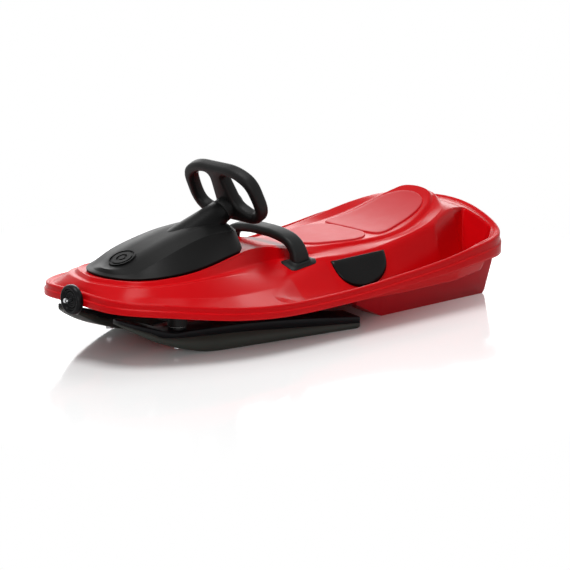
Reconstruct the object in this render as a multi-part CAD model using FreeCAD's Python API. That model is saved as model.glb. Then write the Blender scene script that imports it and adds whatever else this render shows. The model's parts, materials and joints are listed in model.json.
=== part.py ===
import FreeCAD, Part
import math
import os

# Steerable two-seat sled. Millimetres, +X to the nose, +Y to the rider's left, +Z up.
# The origin lies on the snow, under the middle of the overall length.

V = FreeCAD.Vector

# Overall sizes
OVERALL_LENGTH = 1168.0
HULL_WIDTH = 540.0
SEAT_HEIGHT = 238.0
WALL = 4.0
OVERRUN = 20.0
RUNNING_CLEARANCE = 0.06
LOOSE_CLEARANCE = 0.6
SEAT_GAP = 0.3
ANGLE_MARGIN = 0.01

# Rim of the upper hull
TAIL_BAND_HEIGHT = 58.0
RIM_STEP = 3.5
RIM_STEP_RISE = 2.0
LIP_WIDTH = 13.0
LIP_CROWN = 3.0
RIM_STEP_SHARE = 0.5

# Hull lines, front to rear on the left side, as shares of half the length, half the width and the seat height
RIM_SHARES = [
    (0.946, 0.141, 0.611), (0.932, 0.410, 0.600), (0.787, 0.718, 0.563), (0.565, 0.926, 0.492),
    (0.325, 0.996, 0.441), (0.103, 1.000, 0.433), (-0.103, 1.000, 0.450), (-0.308, 0.996, 0.487),
    (-0.531, 0.993, 0.540), (-0.740, 0.974, 0.612), (-0.890, 0.865, 0.660), (-0.966, 0.526, 0.769),
    (-0.994, 0.180, 0.832),
]
BAND_SHARES = [0.45, 0.45, 0.45, 0.45, 0.44, 0.43, 0.45, 0.48, 0.55, 0.68, 0.80, 0.92, 1.00]
SHOULDER_SHARES = [
    (0.913, 0.111, 0.660), (0.882, 0.375, 0.660), (0.742, 0.600, 0.643), (0.540, 0.720, 0.592),
    (0.308, 0.704, 0.555), (0.103, 0.667, 0.513), (-0.103, 0.704, 0.504), (-0.274, 0.741, 0.513),
    (-0.497, 0.759, 0.570), (-0.690, 0.745, 0.670), (-0.835, 0.640, 0.750), (-0.900, 0.420, 0.808),
    (-0.925, 0.180, 0.828),
]
RIDGE_SHARES = [
    (0.892, 0.093, 0.683), (0.850, 0.350, 0.674), (0.715, 0.515, 0.662), (0.530, 0.565, 0.658),
    (0.308, 0.430, 0.676), (0.103, 0.378, 0.660), (-0.068, 0.467, 0.634), (-0.223, 0.548, 0.634),
    (-0.462, 0.563, 0.706), (-0.651, 0.526, 0.800), (-0.762, 0.425, 0.866), (-0.815, 0.310, 0.890),
    (-0.842, 0.170, 0.899),
]
COLLAR_SHARES = [
    (0.866, 0.067, 0.725), (0.824, 0.305, 0.721), (0.700, 0.440, 0.716), (0.530, 0.468, 0.742),
    (0.308, 0.350, 0.770), (0.120, 0.267, 0.723), (-0.068, 0.289, 0.664), (-0.214, 0.363, 0.660),
    (-0.449, 0.430, 0.680), (-0.637, 0.393, 0.766), (-0.748, 0.318, 0.868), (-0.798, 0.235, 0.930),
    (-0.825, 0.125, 0.966),
]
TOP_SHARES = [
    (0.852, 0.059, 0.706), (0.808, 0.280, 0.706), (0.690, 0.414, 0.706), (0.526, 0.440, 0.706),
    (0.312, 0.322, 0.706), (0.127, 0.230, 0.735), (-0.086, 0.230, 0.697), (-0.219, 0.333, 0.693),
    (-0.449, 0.400, 0.709), (-0.634, 0.363, 0.792), (-0.738, 0.294, 0.891), (-0.787, 0.218, 0.958),
    (-0.812, 0.115, 1.000),
]

# Leg wells: station, inner and outer floor edge, ridge edge and its height,
# lip edge and its height, floor height
WELL_SHARES = [
    (0.291, 0.830, 0.881, 0.770, 0.496, 0.941, 0.445, 0.420),
    (0.120, 0.770, 0.867, 0.519, 0.597, 0.952, 0.433, 0.311),
    (-0.086, 0.748, 0.859, 0.496, 0.622, 0.952, 0.441, 0.269),
    (-0.377, 0.748, 0.859, 0.585, 0.693, 0.948, 0.496, 0.261),
    (-0.651, 0.700, 0.850, 0.556, 0.840, 0.930, 0.576, 0.269),
    (-0.822, 0.560, 0.780, 0.430, 0.866, 0.866, 0.638, 0.290),
    (-0.905, 0.400, 0.590, 0.360, 0.880, 0.730, 0.700, 0.460),
]

# Rear tub with its two runner rails
TUB_SHARES = [
    (-0.188, 0.168), (-0.325, 0.0), (-0.896, 0.0), (-0.908, 0.030),
]
RAIL_OUTER_BOTTOM_Y = 176.0
RAIL_OUTER_TOP_Y = 206.0
RAIL_INNER_Y = 114.0
TUB_TOP_Z = 105.0
TUB_WEB_Z = 40.0
TUB_WEB_FRONT_X = -232.0
TUB_POST_SHARES = [(-0.460, 0.300), (-0.720, 0.260)]
TUB_POST_RADIUS = 11.0

# Steering column and wheel
COLUMN_TILT = 25.0
WHEEL_TURN = 22.0
HUB_X = 112.0
HUB_Z = 277.0
HUB_RADIUS = 27.0
HUB_REAR = -21.0
HUB_FRONT = 35.0
SHAFT_RADIUS = 8.0
SHAFT_REAR = -10.0
BUSH_WALL = 4.0
BUSH_LENGTH = 18.0
UPPER_BUSH_START = 38.0
LOWER_BUSH_START = 232.0
SHAFT_END = 262.0
WHEEL_HALF_WIDTH = 120.0
WHEEL_TOP = 108.0
WHEEL_DEPTH = 30.0
WHEEL_EDGE_RADIUS = 9.0
WHEEL_CORNER_RADIUS = 40.0
WHEEL_WINDOW_CORNER_RADIUS = 13.0
WHEEL_OUTLINE_SHARES = [(0.74, -0.34), (1.0, -0.03), (0.975, 0.74), (0.55, 1.0)]
WHEEL_WINDOW_SHARES = [
    (0.17, 0.79), (0.48, 0.79), (0.76, 0.60), (0.81, 0.20), (0.78, -0.03), (0.58, -0.13), (0.26, 0.06),
]
WHEEL_BOLT_HEAD_RADIUS = 9.0
WHEEL_BOLT_HEAD_HEIGHT = 6.0
WHEEL_BOLT_RADIUS = 4.0
WHEEL_BOLT_LENGTH = 24.0
SNOUT_START = 190.0
SNOUT_END = 36.0
SNOUT_START_RADIUS = 44.0
SNOUT_END_RADIUS = 28.0
CRANK_OFFSET = 14.0
CRANK_THICKNESS = 8.0
CRANK_BOSS_RADIUS = 16.0
CRANK_END_RADIUS = 9.0
CRANK_PIN_RADIUS = 5.0
CRANK_PIN_REACH = 12.0
CLIP_THICKNESS = 2.0
CLIP_WIDTH = 4.0

# Hood over the column, front to rear
HOOD_WALL = 3.0
HOOD_DECK_SHARE = 0.706
HOOD_FOOT_SHARES = [
    (0.845, 0.052, 0.708), (0.799, 0.268, 0.708), (0.684, 0.400, 0.708), (0.524, 0.424, 0.708),
    (0.330, 0.318, 0.708), (0.252, 0.250, 0.735),
]
HOOD_BASE_SHARES = [
    (0.854, 0.060, 0.735), (0.808, 0.288, 0.732), (0.692, 0.425, 0.731), (0.528, 0.450, 0.757),
    (0.325, 0.336, 0.788), (0.245, 0.270, 0.803),
]
HOOD_CREASE_SHARES = [
    (0.834, 0.056, 0.752), (0.785, 0.225, 0.757), (0.690, 0.268, 0.838), (0.525, 0.244, 0.943),
    (0.335, 0.218, 0.975), (0.255, 0.190, 0.958),
]
HOOD_TOP_SHARES = [
    (0.812, 0.040, 0.777), (0.770, 0.110, 0.794), (0.680, 0.130, 0.882), (0.520, 0.120, 0.996),
    (0.340, 0.120, 1.040), (0.262, 0.110, 1.010),
]
BADGE_RADIUS = 31.0
BADGE_THICKNESS = 4.0
BADGE_X = 424.0
BADGE_RING_RADII_SHARES = [0.92, 0.74, 0.42, 0.24]
HOOD_SCREW_SHARES = [(0.720, 0.185), (0.400, 0.270)]

# Column bracket on the deck and the opening under the hood
DECK_OPENING_FRONT_X = 400.0
DECK_OPENING_REAR_X = 236.0
DECK_OPENING_HALF_WIDTH = 46.0
BRACKET_EAR_INNER_Y = 14.0
BRACKET_EAR_HALF_WIDTH = 78.0
BRACKET_EAR_THICKNESS = 6.0
BRACKET_BORE_WALL = 8.0
BRACKET_EAR_FRONT_X = 352.0
BRACKET_EAR_REAR_X = 318.0

# Tie rod and steering arms
TIE_X = 262.0
TIE_PIN_Z = 134.0
TIE_BAR_BOTTOM_Z = 103.0
TIE_BAR_HEIGHT = 9.0
TIE_BAR_WIDTH = 18.0
TIE_EYE_RADIUS = 13.0
FORK_HEIGHT = 36.0
FORK_THICKNESS = 12.0
FORK_PRONG_WIDTH = 8.0
ARM_BOTTOM_Z = 115.0
ARM_THICKNESS = 8.0
ARM_WIDTH = 18.0
ARM_PIN_RADIUS = 5.0
ARM_PIN_TAIL = 6.0

# Skis with their kingpins
KINGPIN_X = 368.0
SKI_Y = 118.0
SKI_TOE = 9.5
SKI_WIDTH = 72.0
SKI_WALL = 4.0
SKI_FRONT_X = 520.0
SKI_REAR_X = -85.0
SKI_TIP_HEIGHT = 96.0
SKI_TOP_SHARES = [(0.0, 0.27), (0.25, 0.33), (0.50, 0.42), (0.80, 0.60), (0.90, 0.80), (1.0, 1.0)]
SKI_BOW_SHARES = [(0.60, 0.0), (0.73, 0.12), (0.87, 0.43), (1.0, 0.875)]
SKI_HEEL_SHARES = [(0.0, 0.025), (0.08, 0.0)]
SKI_TIP_LENGTH = 40.0
SKI_COVER_THICKNESS = 3.0
KINGPIN_RADIUS = 9.0
KINGPIN_BOTTOM_Z = 12.0
KINGPIN_BOSS_RADIUS = 20.0
WASHER_THICKNESS = 2.5
BEAM_BOTTOM_Z = 62.0
BEAM_TOP_Z = 106.0
BEAM_WEB_BOTTOM_Z = 70.0
BEAM_WEB_TOP_Z = 98.0
BEAM_WIDTH = 30.0
BEAM_BOSS_RADIUS = 21.0
BEAM_POST_Y = 74.0
BEAM_POST_WIDTH = 26.0
NUT_HEIGHT = 8.0
NUT_RADIUS = 13.0

# Brake
BRAKE_X = 6.0
BRAKE_Z = 118.0
BRAKE_ROD_RADIUS = 6.0
BRAKE_LEAN = 6.0
BRAKE_LEG_Y = 117.0
BRAKE_BAND_WIDTH = 42.0
BRAKE_BAND_THICKNESS = 22.0
BRAKE_BAND_CORNER = 8.0
BRAKE_ARCH_REACH = 88.0
BRAKE_SHOULDER_REACH = 78.0
BRAKE_LEG_REACH = 46.0
BRAKE_SHOULDER_Y = 88.0
BRAKE_CROWN_Y = 36.0
BRAKE_BEND_RADIUS = 30.0
BRAKE_EYE_RADIUS = 15.0
HANGER_Y = 70.0
HANGER_THICKNESS = 10.0
HANGER_WIDTH = 30.0
HANGER_TOP_Z = 172.0
HANGER_FLANGE_Z = 158.0
HANGER_FLANGE_INNER_Y = 48.0
HANGER_SCREW_Y = 56.0
HANGER_SCREW_LENGTH = 11.0
SPRING_WALL = 3.0
CLAW_THICKNESS = 5.0
CLAW_WIDTH = 16.0
CLAW_REACH = 196.0
CLAW_TIP_Z = 16.0
SLOT_CLEARANCE = 4.0
SLOT_INNER_CLEARANCE = 14.0
SLOT_FRONT_REACH = 38.0
SLOT_REAR_REACH = 34.0
FOOT_FLANGE = 7.0
FOOT_THICKNESS = 3.5

# Side grips
GRIP_FRONT_X = -62.0
GRIP_REAR_X = -209.0
GRIP_FRONT_Z = 141.0
GRIP_REAR_Z = 150.0
GRIP_DEPTH = 64.0
GRIP_THICKNESS = 6.0

# Tow fairlead and hook on the nose
FAIRLEAD_Z = 130.0
FAIRLEAD_RADIUS = 33.0
FAIRLEAD_DEPTH = 16.0
FAIRLEAD_DISH_RADIUS = 23.0
FAIRLEAD_DISH_DEPTH = 9.0
HOOK_WIRE_RADIUS = 3.0
HOOK_NUT_RADIUS = 5.5
HOOK_NUT_HEIGHT = 6.0
HOOK_EYE_RADIUS = 5.5
HOOK_EYE_BORE = 2.75

# Screws
SCREW_RADIUS = 2.5
SCREW_HEAD_RADIUS = 5.5
SCREW_HEAD_HEIGHT = 3.5
SCREW_LENGTH = 14.0
BOLT_RADIUS = 4.0
BOLT_HEAD_RADIUS = 7.5
BOLT_HEAD_HEIGHT = 5.0

SIDES = (1, -1)
HALF_LENGTH = OVERALL_LENGTH / 2
HALF_WIDTH = HULL_WIDTH / 2
HOOD_DECK_Z = HOOD_DECK_SHARE * SEAT_HEIGHT
SKI_BOSS_TOP_Z = BEAM_BOTTOM_Z - SEAT_GAP - WASHER_THICKNESS
ARM_TOP_Z = ARM_BOTTOM_Z + ARM_THICKNESS
KINGPIN_TOP_Z = ARM_TOP_Z + NUT_HEIGHT
BRAKE_LEG_INNER_Y = BRAKE_LEG_Y - BRAKE_BAND_THICKNESS / 2
BRAKE_LEG_OUTER_Y = BRAKE_LEG_Y + BRAKE_BAND_THICKNESS / 2
CLAW_INNER_Y = BRAKE_LEG_INNER_Y - CLAW_THICKNESS


def places(shares):
    """Points of a hull line from its shares."""
    return [V(x * HALF_LENGTH, y * HALF_WIDTH, z * SEAT_HEIGHT) for x, y, z in shares]


def mirrored_point(point):
    return V(point.x, -point.y, point.z)


def mirrored(shape):
    """The same piece on the right side."""
    return shape.mirror(V(0, 0, 0), V(0, 1, 0))


def other_side(places_across):
    """The same side and height pairs on the right side, in turned order."""
    return [(-across, up) for across, up in reversed(places_across)]


def inset(points, distance, rise=0):
    """Moves a line inwards in plan and up; a list of rises gives one for each point."""
    rises = rise if isinstance(rise, list) else [rise] * len(points)
    chain = [mirrored_point(points[0])] + points + [mirrored_point(points[-1])]
    moved = []
    for before, point, after, lift in zip(chain, points, chain[2:], rises):
        along = V(after.x - before.x, after.y - before.y, 0).normalize()
        inwards = V(-along.y, along.x, 0)
        moved.append(point + inwards * distance + V(0, 0, lift))
    return moved


def chord_parameters(points):
    """Curve parameters in step with the distance along a line, from 0 to 1."""
    lengths = [0.0]
    for before, after in zip(points, points[1:]):
        lengths.append(lengths[-1] + before.distanceToPoint(after))
    return [length / lengths[-1] for length in lengths]


def loop_edges(points, parameters):
    """Left, right, front and rear edge of a closed line round the hull."""
    sides = []
    for side in (points, [mirrored_point(point) for point in points]):
        curve = Part.BSplineCurve()
        curve.interpolate(Points=side, Parameters=parameters)
        sides.append(curve.toShape())
    front = Part.makeLine(points[0], mirrored_point(points[0]))
    rear = Part.makeLine(points[-1], mirrored_point(points[-1]))
    return sides + [front, rear]


def solid_between(loops, parameters):
    """Closed solid whose skin runs through nested lines, with a cap on the first and the last."""
    rings = [loop_edges(points, parameters) for points in loops]
    faces = [Part.makeRuledSurface(ring[0], ring[1]) for ring in (rings[0], rings[-1])]
    for ring, following in zip(rings, rings[1:]):
        faces += [Part.makeRuledSurface(edge, other) for edge, other in zip(ring, following)]
    shell = Part.Shell(faces)
    shell.sewShape()
    solid = Part.Solid(shell)
    if solid.Volume < 0:
        solid.reverse()
    return solid


def hull_lines():
    """The lines of the upper hull's outer skin, from the lower rim edge to the top."""
    lip = places(RIM_SHARES)
    drops = [-share * TAIL_BAND_HEIGHT for share in BAND_SHARES]
    step_drops = [drop * RIM_STEP_SHARE for drop in drops]
    return [
        inset(lip, -RIM_STEP, drops),
        inset(lip, -RIM_STEP, step_drops),
        inset(lip, 0, [drop + RIM_STEP_RISE for drop in step_drops]),
        lip,
        inset(lip, LIP_WIDTH / 2, LIP_CROWN),
        inset(lip, LIP_WIDTH, -LIP_CROWN),
        places(SHOULDER_SHARES),
        places(RIDGE_SHARES),
        places(COLLAR_SHARES),
        places(TOP_SHARES),
    ]


def hull_under_lines(lines):
    """The lines of the underside, one wall below the outer skin and flat beneath the collar."""
    foot, lip, shoulder, ridge, collar, top = lines[0], lines[3], lines[6], lines[7], lines[8], lines[9]
    below_collar = [min(0, high.z - low.z) - WALL for low, high in zip(collar, top)]
    return [
        inset(top, WALL, -WALL),
        inset(collar, WALL, below_collar),
        inset(ridge, WALL / 2, -WALL),
        inset(shoulder, 0, -WALL),
        inset(lip, LIP_WIDTH, -LIP_CROWN - WALL),
        inset(lip, WALL, -WALL),
        inset(foot, WALL),
    ]


def well(side, grow):
    """A leg well as a solid, or the block round it when it is grown by a wall; side 1 is left, -1 right."""
    wires = []
    for station, inner, outer, ridge, ridge_z, lip, lip_z, floor in WELL_SHARES:
        x = station * HALF_LENGTH
        if grow and station in (WELL_SHARES[0][0], WELL_SHARES[-1][0]):
            x += math.copysign(grow, x)
        top = SEAT_HEIGHT + OVERRUN
        corners = [
            V(x, side * (inner * HALF_WIDTH - grow), floor * SEAT_HEIGHT - grow),
            V(x, side * (ridge * HALF_WIDTH - grow), ridge_z * SEAT_HEIGHT),
            V(x, side * (ridge * HALF_WIDTH - grow), top),
            V(x, side * (lip * HALF_WIDTH + grow), top),
            V(x, side * (lip * HALF_WIDTH + grow), lip_z * SEAT_HEIGHT),
            V(x, side * (outer * HALF_WIDTH + grow), floor * SEAT_HEIGHT - grow),
        ]
        wires.append(Part.makePolygon(corners + corners[:1]))
    return Part.makeLoft(wires, True, True)


def upper_hull():
    lines = hull_lines()
    parameters = chord_parameters(lines[3])
    skin = solid_between(hull_under_lines(lines) + lines, parameters)
    base = [V(point.x, point.y, -OVERRUN) for point in lines[0]]
    bulk = solid_between([base] + lines, parameters)
    hull = skin
    for side in SIDES:
        block = well(side, WALL).common(bulk)
        hull = hull.fuse(block)
        hull = hull.cut(well(side, 0))
    return hull


def box(x0, x1, y0, y1, z0, z1):
    """A box between two corners."""
    return Part.makeBox(x1 - x0, y1 - y0, z1 - z0, V(x0, y0, z0))


def upright(x, y, z0, z1, radius):
    """A round rod that stands between two heights."""
    return Part.makeCylinder(radius, z1 - z0, V(x, y, z0))


def cross_rod(x, z, y0, y1, radius):
    """A round rod that lies across the sled."""
    return Part.makeCylinder(radius, y1 - y0, V(x, y0, z), V(0, 1, 0))


def hexagon(x, y, z, height, radius):
    """An upright hexagon bar, as on a nut."""
    turns = [math.radians(60 * step) for step in range(7)]
    corners = [V(x + radius * math.cos(turn), y + radius * math.sin(turn), z) for turn in turns]
    return Part.Face(Part.makePolygon(corners)).extrude(V(0, 0, height))


def screw(place, direction, length, shank=SCREW_RADIUS, head=SCREW_HEAD_RADIUS, height=SCREW_HEAD_HEIGHT):
    """A round-headed screw whose head rests at a place and whose shank runs along a direction."""
    body = Part.makeCylinder(shank, length, place, direction)
    return body.fuse(Part.makeCylinder(head, height, place - direction * height, direction))


def rounded_wire(points, radius, closed=False):
    """Straight runs joined by tangent arcs of one radius."""
    count = len(points)
    arcs = {}
    for index in range(count):
        if not closed and index in (0, count - 1):
            continue
        corner = points[index]
        back = (points[index - 1] - corner).normalize()
        ahead = (points[(index + 1) % count] - corner).normalize()
        half = back.getAngle(ahead) / 2
        reach = radius / math.tan(half)
        middle = corner + (back + ahead).normalize() * (radius / math.sin(half) - radius)
        arcs[index] = (corner + back * reach, middle, corner + ahead * reach)
    edges = []
    for index in range(count if closed else count - 1):
        following = (index + 1) % count
        start = arcs[index][2] if index in arcs else points[index]
        end = arcs[following][0] if following in arcs else points[following]
        edges.append(Part.LineSegment(start, end).toShape())
        if following in arcs:
            edges.append(Part.Arc(*arcs[following]).toShape())
    return Part.Wire(edges)


def swept(path, profile):
    """A solid of one profile along a path."""
    return path.makePipeShell([profile], True, False)


# Steering column: distances along it run forward and down from the hub, heights square to it
TILT = math.radians(COLUMN_TILT)
COLUMN_FORWARD = V(math.cos(TILT), 0, -math.sin(TILT))
COLUMN_UP = V(math.sin(TILT), 0, math.cos(TILT))
HUB = V(HUB_X, 0, HUB_Z)
CRANK_RADIUS = (HUB_Z - TIE_PIN_Z - (TIE_X - HUB_X) * math.tan(TILT)) * math.cos(TILT)
CRANK_PIN_PLACE = (V(TIE_X, 0, TIE_PIN_Z) + COLUMN_UP * CRANK_RADIUS - HUB).dot(COLUMN_FORWARD)
CRANK_START = CRANK_PIN_PLACE + CRANK_OFFSET - CRANK_THICKNESS / 2
SKI_TURN = math.radians(WHEEL_TURN) * CRANK_RADIUS / (KINGPIN_X - TIE_X)


def on_column(along, side=0, height=0):
    return HUB + COLUMN_FORWARD * along + V(0, side, 0) + COLUMN_UP * height


def column_rod(start, end, radius, height=0):
    """A round rod in line with the steering column."""
    return Part.makeCylinder(radius, end - start, on_column(start, 0, height), COLUMN_FORWARD)


def column_plate(corners, start, thickness):
    """A plate square to the column, from corners given as side and height."""
    points = [on_column(start, side, height) for side, height in corners]
    return Part.Face(Part.makePolygon(points + points[:1])).extrude(COLUMN_FORWARD * thickness)


def wheel_block(shares, radius):
    """A rounded outline square to the column, from shares of the wheel's half width and top height."""
    rear = -WHEEL_DEPTH / 2
    corners = [on_column(rear, across * WHEEL_HALF_WIDTH, up * WHEEL_TOP) for across, up in shares]
    return Part.Face(rounded_wire(corners, radius, True)).extrude(COLUMN_FORWARD * WHEEL_DEPTH)


def steering_wheel():
    """Thick ring with rounded edges, two windows with a spoke between them, and a hub."""
    outline = WHEEL_OUTLINE_SHARES + other_side(WHEEL_OUTLINE_SHARES)
    ring = wheel_block(outline, WHEEL_CORNER_RADIUS)
    for window in (WHEEL_WINDOW_SHARES, other_side(WHEEL_WINDOW_SHARES)):
        ring = ring.cut(wheel_block(window, WHEEL_WINDOW_CORNER_RADIUS))
    flat_edges = []
    for edge in ring.Edges:
        slope = edge.tangentAt(edge.FirstParameter).dot(COLUMN_FORWARD)
        if abs(slope) < ANGLE_MARGIN:
            flat_edges.append(edge)
    ring = ring.makeFillet(WHEEL_EDGE_RADIUS, flat_edges)
    hub = column_rod(HUB_REAR, HUB_FRONT, HUB_RADIUS)
    return hub.fuse(ring).cut([steering_shaft(), wheel_bolt()])


def wheel_bolt():
    head = column_rod(HUB_REAR - WHEEL_BOLT_HEAD_HEIGHT, HUB_REAR, WHEEL_BOLT_HEAD_RADIUS)
    return head.fuse(column_rod(HUB_REAR, HUB_REAR + WHEEL_BOLT_LENGTH, WHEEL_BOLT_RADIUS))


def steering_shaft():
    return column_rod(SHAFT_REAR, SHAFT_END, SHAFT_RADIUS).cut(wheel_bolt())


def column_bush(start):
    end = start + BUSH_LENGTH
    bush = column_rod(start, end, SHAFT_RADIUS + BUSH_WALL)
    return bush.cut(column_rod(start - OVERRUN, end + OVERRUN, SHAFT_RADIUS + RUNNING_CLEARANCE))


def shaft_clip():
    start = LOWER_BUSH_START + BUSH_LENGTH + BRACKET_BORE_WALL / 2 + SEAT_GAP
    ring = column_rod(start, start + CLIP_THICKNESS, SHAFT_RADIUS + CLIP_WIDTH)
    return ring.cut(column_rod(start - OVERRUN, start + OVERRUN, SHAFT_RADIUS))


def column_crank():
    """The lever on the lower shaft, whose pin moves the tie rod from side to side."""
    boss = column_rod(CRANK_START, CRANK_START + CRANK_THICKNESS, CRANK_BOSS_RADIUS)
    end = column_rod(CRANK_START, CRANK_START + CRANK_THICKNESS, CRANK_END_RADIUS, -CRANK_RADIUS)
    corners = [
        (CRANK_BOSS_RADIUS, 0), (CRANK_END_RADIUS, -CRANK_RADIUS),
        (-CRANK_END_RADIUS, -CRANK_RADIUS), (-CRANK_BOSS_RADIUS, 0),
    ]
    arm = column_plate(corners, CRANK_START, CRANK_THICKNESS)
    pin = column_rod(CRANK_PIN_PLACE - CRANK_PIN_REACH, CRANK_START, CRANK_PIN_RADIUS, -CRANK_RADIUS)
    return boss.fuse([end, arm, pin]).cut(column_rod(0, SHAFT_END, SHAFT_RADIUS))


def hood_lines():
    tables = (HOOD_FOOT_SHARES, HOOD_BASE_SHARES, HOOD_CREASE_SHARES, HOOD_TOP_SHARES)
    return [places(table) for table in tables]


def hood():
    """Thin cover over the column, with screw bosses and the snout that holds the upper bush."""
    foot, base, crease, top = hood_lines()
    parameters = chord_parameters(foot)
    under = [
        inset(top, HOOD_WALL, -HOOD_WALL), inset(crease, HOOD_WALL, -HOOD_WALL),
        inset(base, HOOD_WALL, -HOOD_WALL), inset(foot, HOOD_WALL),
    ]
    shell = solid_between(under + [foot, base, crease, top], parameters)
    bulk = solid_between([foot, base, crease, top], parameters)
    for x, y in hood_screw_places():
        boss = upright(x, y, foot[0].z, SEAT_HEIGHT, SCREW_HEAD_RADIUS + HOOD_WALL)
        shell = shell.fuse(boss.common(bulk))
    length = SNOUT_START - SNOUT_END
    start = on_column(SNOUT_END)
    snout = Part.makeCone(SNOUT_END_RADIUS, SNOUT_START_RADIUS, length, start, COLUMN_FORWARD)
    bulkhead = column_rod(SNOUT_END, UPPER_BUSH_START + BUSH_LENGTH, SNOUT_END_RADIUS)
    hollow = Part.makeCone(
        SNOUT_END_RADIUS - HOOD_WALL, SNOUT_START_RADIUS - HOOD_WALL, length + OVERRUN, start, COLUMN_FORWARD
    ).cut(bulkhead)
    above = box(HUB_X, SKI_FRONT_X, -HALF_WIDTH, HALF_WIDTH, HOOD_DECK_Z + SNOUT_END_RADIUS, HUB_Z * 2)
    shell = shell.fuse(snout.common(above)).cut(hollow)
    bore = column_rod(0, UPPER_BUSH_START + BUSH_LENGTH + OVERRUN, SHAFT_RADIUS + BUSH_WALL)
    return shell.cut(bore)


def hood_screw_places():
    return [(x * HALF_LENGTH, side * y * HALF_WIDTH) for x, y in HOOD_SCREW_SHARES for side in SIDES]


def hood_screws():
    place_z = HOOD_DECK_Z - WALL
    return [screw(V(x, y, place_z), V(0, 0, 1), SCREW_LENGTH) for x, y in hood_screw_places()]


def badge_frame():
    """Centre and normal of the badge on the hood's front slope."""
    line = hood_lines()[3]
    low, high = line[2], line[1]
    slope = V(high.x - low.x, 0, high.z - low.z).normalize()
    normal = V(-slope.z, 0, slope.x)
    share = (BADGE_X - low.x) / (high.x - low.x)
    return V(BADGE_X, 0, low.z + (high.z - low.z) * share), normal


def hood_badge():
    """A bare round plate with raised rings."""
    centre, normal = badge_frame()
    badge = Part.makeCylinder(BADGE_RADIUS, BADGE_THICKNESS, centre - normal * BADGE_THICKNESS / 4, normal)
    groove_floor = centre + normal * BADGE_THICKNESS / 4
    outer, inner, eye, core = [share * BADGE_RADIUS for share in BADGE_RING_RADII_SHARES]
    for large, small in ((outer, inner), (eye, core)):
        groove = Part.makeCylinder(large, BADGE_THICKNESS, groove_floor, normal)
        groove = groove.cut(Part.makeCylinder(small, BADGE_THICKNESS, groove_floor, normal))
        badge = badge.cut(groove)
    return badge


def column_bracket():
    start = LOWER_BUSH_START - BRACKET_BORE_WALL / 2
    end = LOWER_BUSH_START + BUSH_LENGTH + BRACKET_BORE_WALL / 2
    block = column_rod(start, end, SHAFT_RADIUS + BUSH_WALL + BRACKET_BORE_WALL)
    for side in SIDES:
        inner, outer = sorted((side * BRACKET_EAR_INNER_Y, side * BRACKET_EAR_HALF_WIDTH))
        block = block.fuse(box(
            BRACKET_EAR_REAR_X, BRACKET_EAR_FRONT_X, inner, outer,
            HOOD_DECK_Z - WALL / 2, HOOD_DECK_Z + BRACKET_EAR_THICKNESS,
        ))
    bore = column_rod(LOWER_BUSH_START, SHAFT_END + OVERRUN, SHAFT_RADIUS + BUSH_WALL)
    way = column_rod(CRANK_START, SHAFT_END, SHAFT_RADIUS + CLIP_WIDTH / 2)
    return block.cut([bore, way])


def bracket_screws():
    x = (BRACKET_EAR_FRONT_X + BRACKET_EAR_REAR_X) / 2
    y = (DECK_OPENING_HALF_WIDTH + BRACKET_EAR_HALF_WIDTH) / 2
    top = HOOD_DECK_Z + BRACKET_EAR_THICKNESS
    length = BRACKET_EAR_THICKNESS + WALL
    return [screw(V(x, side * y, top), V(0, 0, -1), length) for side in SIDES]


def tie_rod():
    bar = box(
        TIE_X - TIE_BAR_WIDTH / 2, TIE_X + TIE_BAR_WIDTH / 2, -SKI_Y, SKI_Y,
        TIE_BAR_BOTTOM_Z, TIE_BAR_BOTTOM_Z + TIE_BAR_HEIGHT,
    )
    inner = CRANK_PIN_RADIUS + LOOSE_CLEARANCE
    swing = KINGPIN_X - TIE_X
    slot_half = ARM_PIN_RADIUS + LOOSE_CLEARANCE
    slot_front = TIE_X + slot_half + swing * (1 - math.cos(SKI_TURN))
    for side in SIDES:
        y = side * SKI_Y
        bar = bar.fuse(upright(TIE_X, y, TIE_BAR_BOTTOM_Z, TIE_BAR_BOTTOM_Z + TIE_BAR_HEIGHT, TIE_EYE_RADIUS))
        prong_y = side * (inner + FORK_PRONG_WIDTH / 2)
        bar = bar.fuse(box(
            TIE_X - FORK_THICKNESS / 2, TIE_X + FORK_THICKNESS / 2,
            prong_y - FORK_PRONG_WIDTH / 2, prong_y + FORK_PRONG_WIDTH / 2,
            TIE_BAR_BOTTOM_Z, TIE_BAR_BOTTOM_Z + TIE_BAR_HEIGHT + FORK_HEIGHT,
        ))
    for side in SIDES:
        y = side * SKI_Y
        bar = bar.cut(box(
            TIE_X - slot_half, slot_front, y - slot_half, y + slot_half,
            TIE_BAR_BOTTOM_Z - OVERRUN, TIE_BAR_BOTTOM_Z + OVERRUN,
        ))
    return bar


def ski_points(shares, lift):
    """Points on the ski's side profile, from shares of its length and of its tip height."""
    length = SKI_FRONT_X - SKI_REAR_X
    return [V(SKI_REAR_X + along * length, 0, height * SKI_TIP_HEIGHT + lift) for along, height in shares]


def ski_block(bottom_lift, top_lift, half_width):
    """The ski's side profile, stretched to a width about its centre line."""
    heel = ski_points(SKI_HEEL_SHARES, bottom_lift)
    bow_points = ski_points(SKI_BOW_SHARES, bottom_lift)
    top_points = ski_points(SKI_TOP_SHARES, top_lift)
    rising = bow_points[-1] - bow_points[-2]
    bow = Part.BSplineCurve()
    bow.interpolate(Points=bow_points, InitialTangent=V(1, 0, 0), FinalTangent=rising)
    top = Part.BSplineCurve()
    top.interpolate(top_points)
    corners = [top_points[0], heel[0], heel[1], bow_points[0]]
    edges = [Part.makeLine(corner, following) for corner, following in zip(corners, corners[1:])]
    edges += [bow.toShape(), Part.makeLine(bow_points[-1], top_points[-1]), top.toShape()]
    face = Part.Face(Part.Wire(edges))
    block = face.extrude(V(0, 2 * half_width, 0))
    block.translate(V(0, SKI_Y - half_width, 0))
    return block


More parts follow.
